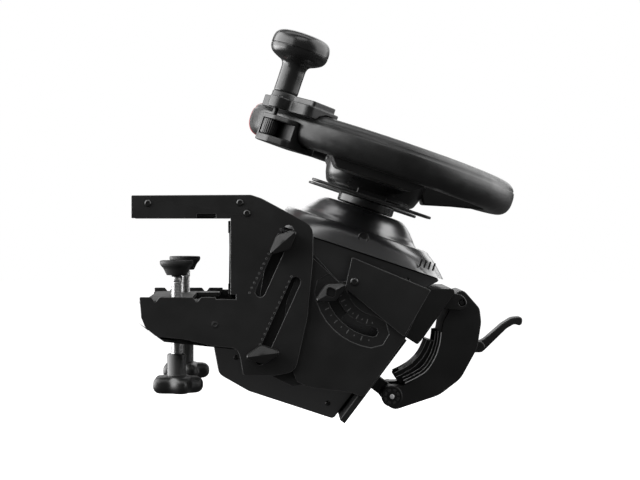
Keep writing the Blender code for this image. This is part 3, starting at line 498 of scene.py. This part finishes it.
def bracket():
    for label, side in SIDES.items():
        dressed(label + "_side_plate", "powder_coat", 0.6, edge_wear_and_highlight="powder_edge_wear_and_highlight")
        plate_y = outer_y(label + "_side_plate", side)
        for i, (u, v) in enumerate(PLATE_SCREWS):
            here = facing(side, u, v, plate_y)
            socket_screw(f"{label}_plate_screw_{i}", here, 3.4, "bracket", "screw_steel")
        profile = [(3.4, 0), (3.4, 0.25), (3.0, 0.5), (1.8, 0.6), (1.5, 0.35), (0.5, 0.3)]
        here = facing(side, *RIVET, plate_y)
        turned(label + "_rivet", profile, here, "powder_coat", "bracket")
        slot_scale(label, side, plate_y)
        dressed(label + "_bumper", "rubber", 0.5)
    dressed("top_plate", "powder_coat", 0.5, edge_wear_and_highlight="powder_edge_wear_and_highlight")
    # The tray takes the darker copy of the coat: painted shade.
    dressed("lower_tray", "powder_painted_shade", 0.5)
    dressed("jaw_pad", "rubber", 0.5)
    jaw_pad_ribs()


# Clamp screws


def thread_rings(radius, low, high, depth=0.75, around=36, per_turn=8):
    """Rings of a screw thread that runs out at both ends."""
    steps = round((high - low) / THREAD_PITCH * per_turn)
    rings = []
    for i in range(steps + 1):
        z = low + (high - low) * i / steps
        fade = min(1.0, (z - low) / THREAD_PITCH, (high - z) / THREAD_PITCH)
        ring = []
        for k in range(around):
            phase = (z / THREAD_PITCH - k / around) % 1.0
            reach = radius - depth * fade * min(1.0, max(0.0, 1.3 * abs(2 * phase - 1) - 0.15))
            t = 2 * math.pi * k / around
            ring.append((reach * math.cos(t), reach * math.sin(t), z))
        rings.append(ring)
    return rings


def star_ring(radius, height, lobes=5, count=120):
    """A handle's outline with round lobes."""
    points = []
    for k in range(count):
        t = 2 * math.pi * k / count
        reach = radius * (0.87 + 0.13 * math.cos(lobes * t))
        points.append((reach * math.cos(t), reach * math.sin(t), height))
    return points


def spindle(label, here):
    node = label + "_clamp_spindle"
    low, high = (corner.z for corner in box_of(node))
    rings = thread_rings(SPINDLE_R, low, high - 6)
    rings += [circle(r, 36, z) for r, z in ((SPINDLE_R, high - 5), (SPINDLE_R, high - 1), (4.5, high))]
    lofted(node + "_thread", rings, here, "zinc", label + "_screw", [node], sharp=60)


def handle(label, here):
    """A star with rounded lobes under a short neck."""
    node = label + "_clamp_handle"
    low, high = (corner.z for corner in box_of(node))
    star_top = low + STAR_TALL
    turns = [math.pi / 2 * k / 7 for k in range(8)]
    rounds = [(STAR_ROUND * math.sin(t) - STAR_ROUND, STAR_ROUND - STAR_ROUND * math.cos(t)) for t in turns]
    rings = [star_ring(HANDLE_R + inset, low + rise) for inset, rise in rounds]
    rings += [star_ring(HANDLE_R + inset, star_top - rise) for inset, rise in rounds[::-1]]
    rings += [circle(r, 120, star_top + rise) for r, rise in ((12.0, 0), (10.0, 0.5), (9.2, 1.6))]
    bore = SPINDLE_R + GAP
    rings += [circle(r, 120, high - drop) for r, drop in ((9.2, 1.2), (8.3, 0), (bore, 0), (bore, 8))]
    body = label + "_screw"
    lofted(node + "_star", rings, here, "satin_plastic", body, [node], sharp=50)


def pad(label, here):
    """A rubber foot with three grooves round its top."""
    profile = [(2.0, 0), (4, 0), (4.4, -0.5), (5.6, -0.5), (6, 0), (8, 0), (8.4, -0.5), (9.6, -0.5)]
    profile += [(10, 0), (12, 0), (12.4, -0.5), (13.6, -0.5), (14, 0), (15.4, 0), (16.1, -0.3)]
    profile += smoothed([(16.4, -1.2), (16.3, -3.0), (15.2, -5.2), (13.2, -7.4), (11.6, -10.4),
                         (10.4, -12.8), (9.6, -14.2)])
    node = label + "_clamp_pad"
    top = Matrix.Translation((0, 0, box_of(node)[1].z))
    turned(node + "_ribbed", profile, here @ top, "rubber", label + "_pad", [node], sharp=50)


def clamp_screws():
    for label in SIDES:
        here = Matrix.Translation(pivot(label + "_screw_turn"))
        spindle(label, here)
        handle(label, here)
        pad(label, here)


# Height carrier and its knobs


def carrier():
    for label, side in SIDES.items():
        dressed(label + "_carrier_plate", "powder_coat", 0.5, edge_wear_and_highlight="powder_edge_wear_and_highlight")
        for tag, lean in KNOB_LEANS.items():
            dressed(f"{label}_{tag}_bolt", "zinc", 0.4)
            wing_knob(label, side, tag, lean)


def wing_knob(label, side, tag, lean):
    """A lozenge knob with a ridge from tip to tip, and an open eye over the tilt bolt."""
    centre = pivot(f"{label}_{tag}_knob_turn")
    turn = Matrix.Rotation(math.radians(lean), 4, "Z")
    here = frame_at((centre.x, 0, centre.z), (1, 0, 0), (0, 0, 1), (0, 1, 0)) @ turn
    outline = rounded([(-19.5, 0, 3), (0, -9.6, 6), (19.5, 0, 3), (0, 9.6, 6)], 12)
    node = f"{label}_{tag}_knob"
    low, high = sorted(abs(corner.y) for corner in box_of(node))
    wing_low = high - WING_TALL

    def scaled(share, y):
        return [(p.x * share, p.y * share, side * y) for p in outline]

    def round_at(radius, y):
        return [(*(p.normalized() * radius), side * y) for p in outline]

    def roofed(points, drop):
        """The points under two slopes that meet along the line from tip to tip."""
        return [(p.x, p.y, side * (high - drop - WING_SLOPE * abs(p.y))) for p in points]

    rings = [round_at(4.3, low), round_at(8.0, low), round_at(8.4, low + 0.4), round_at(8.4, wing_low)]
    rings += [scaled(share, wing_low + rise) for share, rise in ((0.88, 0), (0.95, 0.25), (1.0, 1.8))]
    rings += [roofed([p * share for p in outline], drop) for share, drop in
              ((1.0, 1.9), (0.98, 0.8), (0.93, 0.1))]
    if tag == "tilt":
        rings += [roofed([p.normalized() * radius for p in outline], drop) for radius, drop in
                  ((5.7, 0), (5.0, 0.3), (4.8, 0.8))]
        rings += [round_at(4.8, high - 4.6), round_at(2.4, high - 4.6)]
    else:
        rings += [roofed([p * share for p in outline], 0) for share in (0.6, 0.3, 0.04)]
    lofted(node + "_wing", rings, here, "satin_plastic", node, [node], sharp=25)


# Tilting cradle


def tilt_marks(side, y):
    """Short bars along both sides of the arc slot, long and short in turn."""
    centre = Vector((pivot("wheel_tilt").x, pivot("wheel_tilt").z))
    bolt = pivot("left_tilt_knob_turn")
    radius = (Vector((bolt.x, bolt.z)) - centre).length
    build = bmesh.new()
    count, from_slot, half = 10, 8.6, 0.45
    for k in range(count):
        t = TILT_MARKS[0] + (TILT_MARKS[1] - TILT_MARKS[0]) * k / (count - 1)
        out, along = Vector((math.cos(t), math.sin(t))), Vector((-math.sin(t), math.cos(t)))
        for away in (-from_slot, from_slot):
            reach = 2.2 if k % 2 == 0 else 0.8
            middle = centre + out * (radius + away)
            ends = [(-reach, -half), (reach, -half), (reach, half), (-reach, half)]
            outline = [middle + out * e[0] + along * e[1] for e in ends]
            add_rings(build, [[(p.x, side * depth, p.y) for p in outline] for depth in (y, y + 0.15)])
    return build


def cradle():
    for label, side in SIDES.items():
        dressed(label + "_tilt_plate", "powder_coat", 0.45, edge_wear_and_highlight="powder_edge_wear_and_highlight")
        dressed(label + "_cheek_plate", "powder_coat", 0.6, edge_wear_and_highlight="powder_edge_wear_and_highlight")
        recess = outer_y(label + "_tilt_plate", side) - 0.8
        piece(label + "_tilt_scale", tilt_marks(side, recess), LEVEL, "marks", "tilt_cradle")
        here = facing(side, *CHEEK_SCREW, outer_y(label + "_cheek_plate", side))
        socket_screw(label + "_cheek_screw", here, 4.0, "tilt_cradle", "screw_steel")
    dressed("mounting_board", "powder_coat", 0.6, edge_wear_and_highlight="powder_edge_wear_and_highlight")


# Wheel base


# Rows of height, half sizes along and across, superellipse power and offset along
COVER_RINGS = (
    (-94.5, 90.0, 72.0, 5.0, 6.0),
    (-88.0, 85.5, 70.6, 4.2, 4.6),
    (-81.0, 80.0, 69.0, 3.4, 3.0),
    (-76.6, 76.6, 67.0, 2.9, 0.6),
    (-74.2, 74.0, 64.8, 2.7, 0.0),
    (-73.3, 70.0, 63.2, 2.5, 0.0),
)
DOME_RINGS = (
    (-72.9, 61.8, 60.9, 2.2, 0.0),
    (-70.0, 59.0, 59.0, 2, 0.0),
    (-67.0, 56.7, 56.7, 2, 0.0),
    (-64.0, 54.0, 54.0, 2, 0.0),
    (-60.6, 51.0, 51.0, 2, 0.0),
    (-57.6, 47.8, 47.8, 2, 0.0),
    (-54.6, 43.6, 43.6, 2, 0.0),
    (-52.9, 40.2, 40.2, 2, 0.0),
    (-52.5, 37.5, 37.5, 2, 0.0),
)
INSIDE_RINGS = (
    (-52.5, 24.0, 24.0, 2, 0.0),
    (-55.5, 24.0, 24.0, 2, 0.0),
    (-55.8, 35.0, 35.0, 2, 0.0),
    (-66.0, 46.5, 46.5, 2, 0.0),
    (-75.8, 56.5, 56.5, 2, 0.0),
    (-77.5, 71.0, 61.5, 2.8, 0.0),
    (-94.5, 86.5, 68.5, 5, 6.0),
)


def base_cover():
    """The skirt and the bell above it, with a fine joint line between them."""
    height, half_a, half_b, power, _ = COVER_RINGS[-1]
    rings = [oval_ring(*row) for row in smoothed(COVER_RINGS)]
    rings += [oval_ring(height - 0.5, half_a - 0.8, half_b - 0.8, power)]
    rings += [oval_ring(height - 0.5, 62.8, 61.9, 2.2)]
    rings += [oval_ring(*row) for row in smoothed(DOME_RINGS)]
    rings += [oval_ring(*row) for row in INSIDE_RINGS]
    lofted("base_cover_shell", rings, WHEEL, "gloss_plastic", "tilt_cradle",
           ["base_cover"], closed=True, sharp=30)
    profile = [(5.4, -1), (5.4, 0.3), (5.0, 0.7), (4.2, 0.6), (3.6, 0.1), (2.4, 0.0), (0.8, 0.3)]
    bar = rounded([(-0.9, -5, 0.8), (0.9, -5, 0.8), (0.9, 3, 0.8), (-0.9, 3, 0.8)], 4)
    for label, side in SIDES.items():
        plug = WHEEL @ facing(side, 5.0, -80.0, 68.9)
        turned(label + "_cover_plug", profile, plug, "satin_plastic", "tilt_cradle")
        # Near-black bars stand in for the vent openings: painted shade, with nothing cut.
        for k in range(4):
            slot = WHEEL @ facing(side, 66 + 4.5 * k, -84.5, 69.6)
            prism(f"{label}_cover_vent_{k}", bar, -1.5, 0.15 - 0.12 * k, slot, "dark", "tilt_cradle",
                  "gloss_plastic", edge=0.1)


def housing_details():
    """Louvres under the housing and the screws that hold its shell together."""
    build = bmesh.new()
    for k in range(9):
        a = -44 + k * 8
        outline = rounded([(a, -34, 1.4), (a + 3, -34, 1.4), (a + 3, 34, 1.4), (a, 34, 1.4)], 4)
        add_rings(build, [[(p[0], p[1], c) for p in outline] for c in (-258.6, -259.7)])
    piece("housing_louvres", build, WHEEL, "satin_plastic", "tilt_cradle")
    half = box_of("base_housing")[1].y
    for label, side in SIDES.items():
        for i, (a, c) in enumerate(((-72.0, -106.0), (60.0, -106.0), (-76.0, -232.0), (24.0, -246.0))):
            place = WHEEL @ Vector((a, 0, c))
            here = facing(side, place.x, place.z, half)
            socket_screw(f"{label}_housing_screw_{i}", here, 2.6, "tilt_cradle")


def base():
    dressed("base_housing", "gloss_plastic", 1.2, 4)
    base_cover()
    housing_details()
    dressed("clamp_root", "satin_plastic", 0.8)
    dressed("upper_bearing", "bearing_steel", 0.6)
    dressed("lower_bearing", "bearing_steel", 0.6)
    dressed("motor", "zinc", 0.8)
    dressed("motor_pulley", "zinc", 0.4)
    dressed("drive_belt", "rubber", 0.3)
    dressed("control_board", "circuit", 0.15)
    board_parts()


def board_parts():
    """Chips with their legs on the control board."""
    inner = box_of("control_board")[0].y
    build = bmesh.new()
    pitch = 1.5
    for a, c, wide, tall in ((-52, -222, 14, 14), (-24, -214, 9, 6), (-8, -232, 12, 7), (-34, -236, 6, 6)):
        outline = rounded([(a, c, 0.6), (a + wide, c, 0.6), (a + wide, c + tall, 0.6), (a, c + tall, 0.6)], 3)
        add_rings(build, [[(p[0], y, p[1]) for p in outline] for y in (inner - 1.6, inner)])
        for k in range(int(wide / pitch)):
            u = a + 0.7 + k * pitch
            for v in (c - 0.9, c + tall + 0.1):
                leg = [(u, v), (u + 0.6, v), (u + 0.6, v + 0.8), (u, v + 0.8)]
                add_rings(build, [[(p[0], y, p[1]) for p in leg] for y in (inner - 0.5, inner)])
    piece("board_parts", build, WHEEL, "smooth_plastic", "tilt_cradle")


# Steering wheel


def rim():
    """The covered rim and a narrow band round it at the top of the wheel."""
    around = 288
    rings = [rim_section(2 * math.pi * i / around) for i in range(around)]
    lofted("rim_grip", rings, WHEEL, "grip", "steering_wheel", ["wheel_rim"], closed=True, sharp=60)
    half = math.radians(5.0)
    band = [rim_section(math.pi - half + 2 * half * i / 8, grow) for i, grow in
            enumerate((-0.4, 0.2, 0.3, 0.3, 0.3, 0.3, 0.3, 0.2, -0.4))]
    lofted("rim_centre_band", band, WHEEL, "red", "steering_wheel", sharp=60)
    stitches()


def stitches():
    """Slanted stitches over the seam on the rim's inner side."""
    build = bmesh.new()
    inner = RIM_RADIUS - RIM_RADIAL + 0.3
    count, long, slant = 150, 4.2, 0.012
    for i in range(count):
        t = 2 * math.pi * i / count
        rings = []
        for j in range(5):
            share = j / 4 - 0.5
            rise, lean = share * long, t + share * slant
            sink = 0.9 * (2 * share) ** 2
            centre = Vector((inner - 0.2 + sink * 0.6, 0, RIM_HEIGHT + rise))
            ring = [Vector(p) for p in circle(0.42, 6)]
            rings.append([Matrix.Rotation(lean, 3, "Z") @ (centre + p) for p in ring])
        add_rings(build, rings)
    piece("rim_stitches", build, WHEEL, "thread", "steering_wheel")


def wheel_face():
    """The hub's front with a groove round a domed middle."""
    rows = smoothed([(-11.9, 50.0, 50.0, 3.2), (-8.0, 49.4, 50.4, 3.2), (-3.6, 47.6, 50.2, 3.2)], 3)
    rows += [(-2.0, 45.4, 48.2, 3.2), (-1.8, 30, 30, 2.2)]
    rows += [(height, radius, radius, 2) for height, radius in
             ((-2.4, 29.4), (-2.4, 27.6), (-1.2, 27.0), (-0.4, 25.5), (0.4, 20.0), (0.9, 12.0), (1.1, 4.0))]
    rings = [oval_ring(*row) for row in rows]
    lofted("wheel_face", rings, WHEEL, "satin_plastic", "steering_wheel")


def spokes():
    """The three spokes, the trim over them and the buttons on two of them."""
    side_view = WHEEL @ frame_at((0, 0, 0), (1, 0, 0), (0, 0, 1), (0, 1, 0))
    spoke = rounded([(-54, -12, 4), (-44, -24, 6), (32, -24, 8), (48, -12, 4), (28, -2, 4), (-46, -2, 4)])
    trim = rounded([(-40, 55, 4), (25, 55, 4), (23, 108, 6), (-38, 108, 6)])
    for label, side in SIDES.items():
        ends = sorted((side * 46.0, side * 114.0))
        prism(f"{label}_spoke", spoke, *ends, side_view, "satin_plastic", "steering_wheel",
              "satin_plastic", edge=1.6)
        plate = [(p.x, side * p.y) for p in trim]
        prism(f"{label}_spoke_trim", plate, -2.2, -1.2, WHEEL, "dark_steel", "steering_wheel", "zinc",
              edge=0.4)
        for tag, a in (("upper", -14.0), ("lower", 14.0)):
            button(f"{label}_{tag}_button", a, side * 66.0)
    lower = rounded([(44, -12, 3), (54, -30, 3), (85, -21.5, 10), (114, -15, 3), (114, -7, 3), (54, -4, 3)])
    prism("lower_spoke", lower, -22, 22, side_view, "satin_plastic", "steering_wheel", "satin_plastic",
          edge=1.6)
    plate = rounded([(52, -17, 4), (106, -14, 6), (106, 14, 6), (52, 17, 4)])
    lean = Matrix.Translation((54, 0, -3.6)) @ Matrix.Rotation(math.atan2(3.0, 60.0), 4, "Y")
    lean = lean @ Matrix.Translation((-54, 0, 0))
    prism("lower_spoke_trim", plate, -0.4, 0.6, WHEEL @ lean, "dark_steel", "steering_wheel", "zinc",
          edge=0.4)


def button(node, a, b):
    """A round push button with a dished cap in a raised collar."""
    here = WHEEL @ Matrix.Translation((a, b, 0))
    profile = [(BUTTON_R, -7.2), (BUTTON_R, -0.2), (BUTTON_R - 0.25, 0.4), (BUTTON_R - 0.9, 0.8)]
    profile += [(3.6, 0.7), (1.6, 0.35), (0.4, 0.3)]
    turned(node + "_cap", profile, here, "smooth_plastic", node, [node])
    collar = [(BUTTON_R + GAP, -2.4), (BUTTON_R + GAP, -0.6), (BUTTON_R + 0.8, -0.2), (BUTTON_R + 1.8, -0.4)]
    collar += [(BUTTON_R + 2.4, -1.2), (BUTTON_R + 2.4, -2.4)]
    rings = [circle(radius, 48, height) for radius, height in collar]
    lofted(node + "_collar", rings, here, "satin_plastic", "steering_wheel", closed=True)


def hub():
    rows = smoothed([
        (-41.8, 34.0, 34.0, 2.1), (-40.2, 38.0, 37.5, 2.3), (-36.6, 45.5, 44.5, 2.8),
        (-31.5, 48.2, 47.0, 3.0), (-26.7, 49.8, 48.5, 3.2), (-19.5, 51.2, 49.6, 3.3),
        (-13.2, 52.0, 50.0, 3.4),
    ])
    rings = [oval_ring(-42.2, 31.0, 31.0, 2)] + [oval_ring(*row) for row in rows]
    rings += [oval_ring(-12.5, 51.4, 49.4, 3.4), oval_ring(-12.2, 50.5, 48.5, 3.4)]
    lofted("hub_shell", rings, WHEEL, "smooth_plastic", "steering_wheel", ["wheel_hub"],
           sharp=50)
    around = 38.5
    for k in range(6):
        t = math.pi / 3 * k + 0.3
        place = (around * math.cos(t), around * math.sin(t), -40.1)
        here = WHEEL @ frame_at(place, (1, 0, 0), (0, -1, 0), (0, 0, -1))
        socket_screw(f"hub_screw_{k}", here, 2.3, "steering_wheel")
    dressed("steering_shaft", "bearing_steel", 0.8)
    dressed("shaft_pulley", "satin_plastic", 0.8)
    dressed("wheel_collar", "smooth_plastic", 0.8)


def paddles():
    for label in SIDES:
        dressed(label + "_paddle", "dark_steel", 0.8)


# Spinner knob and its clamp


def knob_clamp():
    dressed("knob_clamp_top", "satin_plastic", 1.0)
    dressed("knob_clamp_jaw", "satin_plastic", 1.0)
    thumbwheel()


def thumbwheel():
    """A wheel with grooves across its edge, on the stud that draws the clamp's halves together."""
    here = frame_at(pivot("thumbwheel_turn"), WHEEL_E, (0, 1, 0), WHEEL_N)
    around, grooves = 144, 24
    rings = []
    for radius, height, depth in ((7.0, -15.0, 0.0), (7.6, -14.7, 0.0), (8.0, -14.0, 0.55),
                                  (8.0, -1.0, 0.55), (7.6, -0.3, 0.0), (7.0, 0.0, 0.0)):
        ring = []
        for k in range(around):
            t = 2 * math.pi * k / around
            reach = radius - depth * max(0.0, math.sin(grooves * t))
            ring.append((reach * math.cos(t), reach * math.sin(t), height))
        rings.append(ring)
    rings += [circle(r, around, h) for r, h in ((2.5, 0.0), (2.5, 23.7), (1.8, 24.5))]
    lofted("thumbwheel_knurled", rings, here, "dark_steel", "knob_clamp_thumbwheel",
           ["knob_clamp_thumbwheel"], sharp=50)


def spinner():
    """The knob's post and the knob itself, a waisted neck under a round head."""
    centre = WHEEL.inverted() @ pivot("spinner_turn")
    here = WHEEL @ Matrix.Translation((centre.x, centre.y, 0))
    post = [(12.8, 23.3), (12.8, 29.6), (12.5, 30.4), (12.0, 31.0), (4.0, 31.0), (4.0, 69.4), (3.4, 70.0)]
    turned("knob_post_turned", post, here, "satin_plastic", "steering_wheel", ["knob_post"])
    neck = smoothed([(12.3, 33.0), (12.2, 41.0), (12.3, 50.0), (12.5, 57.0), (14.6, 61.3), (20.4, 64.0),
                     (25.8, 67.2), (28.4, 71.0), (29.2, 74.6)], 5)
    head = smoothed([(29.3, 76.0), (29.0, 82.0), (27.0, 87.0), (22.0, 90.2), (12.0, 91.9), (3.0, 92.2)], 5)
    profile = [(4.3, 70.5), (4.3, 31.3), (11.8, 31.3), (12.2, 31.8)] + neck
    profile += [(28.7, 75.0), (28.7, 75.5)] + head
    turned("spinner_turned", profile, here, "smooth_plastic", "spinner_knob",
           ["spinner_knob"], count=96)


# Base clamp


def arm_ribs():
    """Thin raised lines along the clamp arm's hollow side, on its edge and on the block inside it. Their
    beads are pale grey, a painted highlight on the black plastic.
    """
    edge = smoothed([(211.4, -114.0), (209.6, -127.0), (204.6, -141.0), (196.6, -152.6), (186.0, -159.6),
                     (175.0, -165.0)], 6)
    block = smoothed([(198.4, -123.0), (194.6, -132.0), (189.4, -140.2), (182.4, -147.0), (174.6, -152.0),
                      (165.6, -156.4)], 6)
    centre = Vector((150.0, -110.0))
    fins, beads = bmesh.new(), bmesh.new()
    ribs = ((edge, -34.4, -33.0, 0.5), (edge, -28.0, -26.8, 2.8), (edge, -22.0, -20.8, 5.2),
            (block, -16.7, -15.5, 0.6), (block, -16.7, -15.5, -4.0))
    for curve, low, high, reach in ribs:
        for build, near, far in ((fins, -1.5 + min(reach, 0), reach - 0.8), (beads, reach - 0.8, reach)):
            lines = [[Vector(p) + (centre - Vector(p)).normalized() * d for p in curve] for d in (near, far)]
            outline = lines[0] + lines[1][::-1]
            for side in SIDES.values():
                add_rings(build, [[(p.x, side * y, p.y) for p in outline] for y in (low, high)])
    piece("clamp_arm_fins", fins, LEVEL, "satin_plastic", "clamp_arm")
    piece("clamp_arm_bead_highlights", beads, LEVEL, "pale_plastic_painted_highlight", "clamp_arm")


def cog(inner, outer, low, high, teeth=8):
    """Short blocks round a circle."""
    build = bmesh.new()
    for k in range(teeth):
        steps = [2 * math.pi * (k + 0.18 + 0.64 * j / 6) / teeth for j in range(7)]
        outline = [(outer * math.cos(t), outer * math.sin(t)) for t in steps]
        outline += [(inner * math.cos(t), inner * math.sin(t)) for t in steps[::-1]]
        add_rings(build, [[(*p, height) for p in outline] for height in (low, high)])
    return build


def base_clamp():
    dressed("clamp_arm", "satin_plastic", 1.0)
    dressed("clamp_lever", "satin_plastic", 1.3)
    dressed("clamp_arm_pad", "rubber", 0.7)
    arm_ribs()
    boss = [(10.6, -2), (10.6, 0.4), (10.0, 0.8), (8.8, 0.8), (8.5, 0.3), (4.6, 0.3), (4.3, 0.8), (3.0, 0.8)]
    pin = [(2.4, 0), (2.4, 1.3), (2.0, 1.8), (0.8, 1.9)]
    for label, side in SIDES.items():
        here = facing(side, *PAD_PIN, ARM_HALF_WIDTH)
        turned(label + "_arm_boss", boss, here, "satin_plastic", "clamp_arm")
        piece(label + "_arm_cog", cog(5.4, 7.8, 0.0, 0.8), here, "powder_edge_wear_and_highlight", "clamp_arm")
        turned(label + "_arm_pin_end", pin, here, "nylon", "clamp_arm")


# Stage, lights and camera, in metres and watts

FLOOR_PLACE = (0.1, 0, -0.46)
LAMP_TARGET = (0.1, 0, 0)
# Name, place, width, height and power
LAMPS = (
    ("left_wall", (-1.5, 0.15, 0.62), 2.4, 2.0, 84),
    ("left_low", (-1.45, 0.35, -0.1), 2.0, 0.6, 16),
    ("right_wall", (1.55, 0.15, 0.62), 2.4, 2.0, 48),
    ("front_left", (-1.0, -1.2, 1.0), 0.7, 1.0, 9),
    ("front_above", (0.3, -1.35, 1.5), 1.3, 0.7, 8),
    ("above", (0.1, 0.2, 1.6), 1.8, 0.8, 9),
    ("behind", (0.4, 1.9, 0.8), 2.0, 1.2, 12),
)
FILL, SHOWN = 0.1, 1.0
CAMERA_PLACE = (0.0501, -1.75, 0.0113)
CAMERA_LENS = 96.5
CAMERA_SHIFT = (0.0625, -0.0516)


def stage():
    """A pale floor that shines only towards the camera."""
    floor = bmesh.new()
    bmesh.ops.create_grid(floor, x_segments=2, y_segments=2, size=9.0)
    mesh = bpy.data.meshes.new("floor")
    floor.to_mesh(mesh)
    floor.free()
    look = Finish("floor_paper", (0.9, 0.9, 0.9), 0.9, Emission_Color=(1, 1, 1, 1), Emission_Strength=1.0)
    mesh.materials.append(look.material)
    thing = bpy.data.objects.new("floor", mesh)
    thing.location = FLOOR_PLACE
    thing.visible_diffuse = False
    thing.visible_glossy = False
    bpy.context.scene.collection.objects.link(thing)


def softbox(name, place, width, height, power):
    light = bpy.data.lights.new(name, "AREA")
    light.shape = "RECTANGLE"
    light.size, light.size_y = width, height
    light.energy = power
    thing = bpy.data.objects.new(name, light)
    thing.location = place
    thing.rotation_euler = (Vector(LAMP_TARGET) - Vector(place)).to_track_quat("-Z", "Y").to_euler()
    bpy.context.scene.collection.objects.link(thing)


def lights():
    for lamp in LAMPS:
        softbox(*lamp)
    surroundings()
    bpy.context.scene.view_settings.view_transform = "Standard"


def surroundings():
    """A world that looks white and lights the part only a little."""
    world = bpy.data.worlds.new("studio")
    world.use_nodes = True
    tree = world.node_tree
    shown, fill = tree.nodes["Background"], tree.nodes.new("ShaderNodeBackground")
    for background, strength in ((shown, SHOWN), (fill, FILL)):
        background.inputs["Color"].default_value = (1, 1, 1, 1)
        background.inputs["Strength"].default_value = strength
    path, mix = tree.nodes.new("ShaderNodeLightPath"), tree.nodes.new("ShaderNodeMixShader")
    tree.links.new(path.outputs["Is Camera Ray"], mix.inputs["Fac"])
    tree.links.new(fill.outputs["Background"], mix.inputs[1])
    tree.links.new(shown.outputs["Background"], mix.inputs[2])
    tree.links.new(mix.outputs["Shader"], tree.nodes["World Output"].inputs["Surface"])
    bpy.context.scene.world = world


def camera():
    """Level, and square to the part's left side."""
    lens = bpy.data.cameras.new("camera")
    lens.lens = CAMERA_LENS
    lens.shift_x, lens.shift_y = CAMERA_SHIFT
    thing = bpy.data.objects.new("camera", lens)
    thing.location = CAMERA_PLACE
    thing.rotation_euler = (math.radians(90), 0, 0)
    bpy.context.scene.collection.objects.link(thing)
    bpy.context.scene.camera = thing


def main():
    bracket()
    clamp_screws()
    carrier()
    cradle()
    base()
    rim()
    wheel_face()
    spokes()
    hub()
    paddles()
    knob_clamp()
    spinner()
    base_clamp()
    stage()
    lights()
    camera()


main()
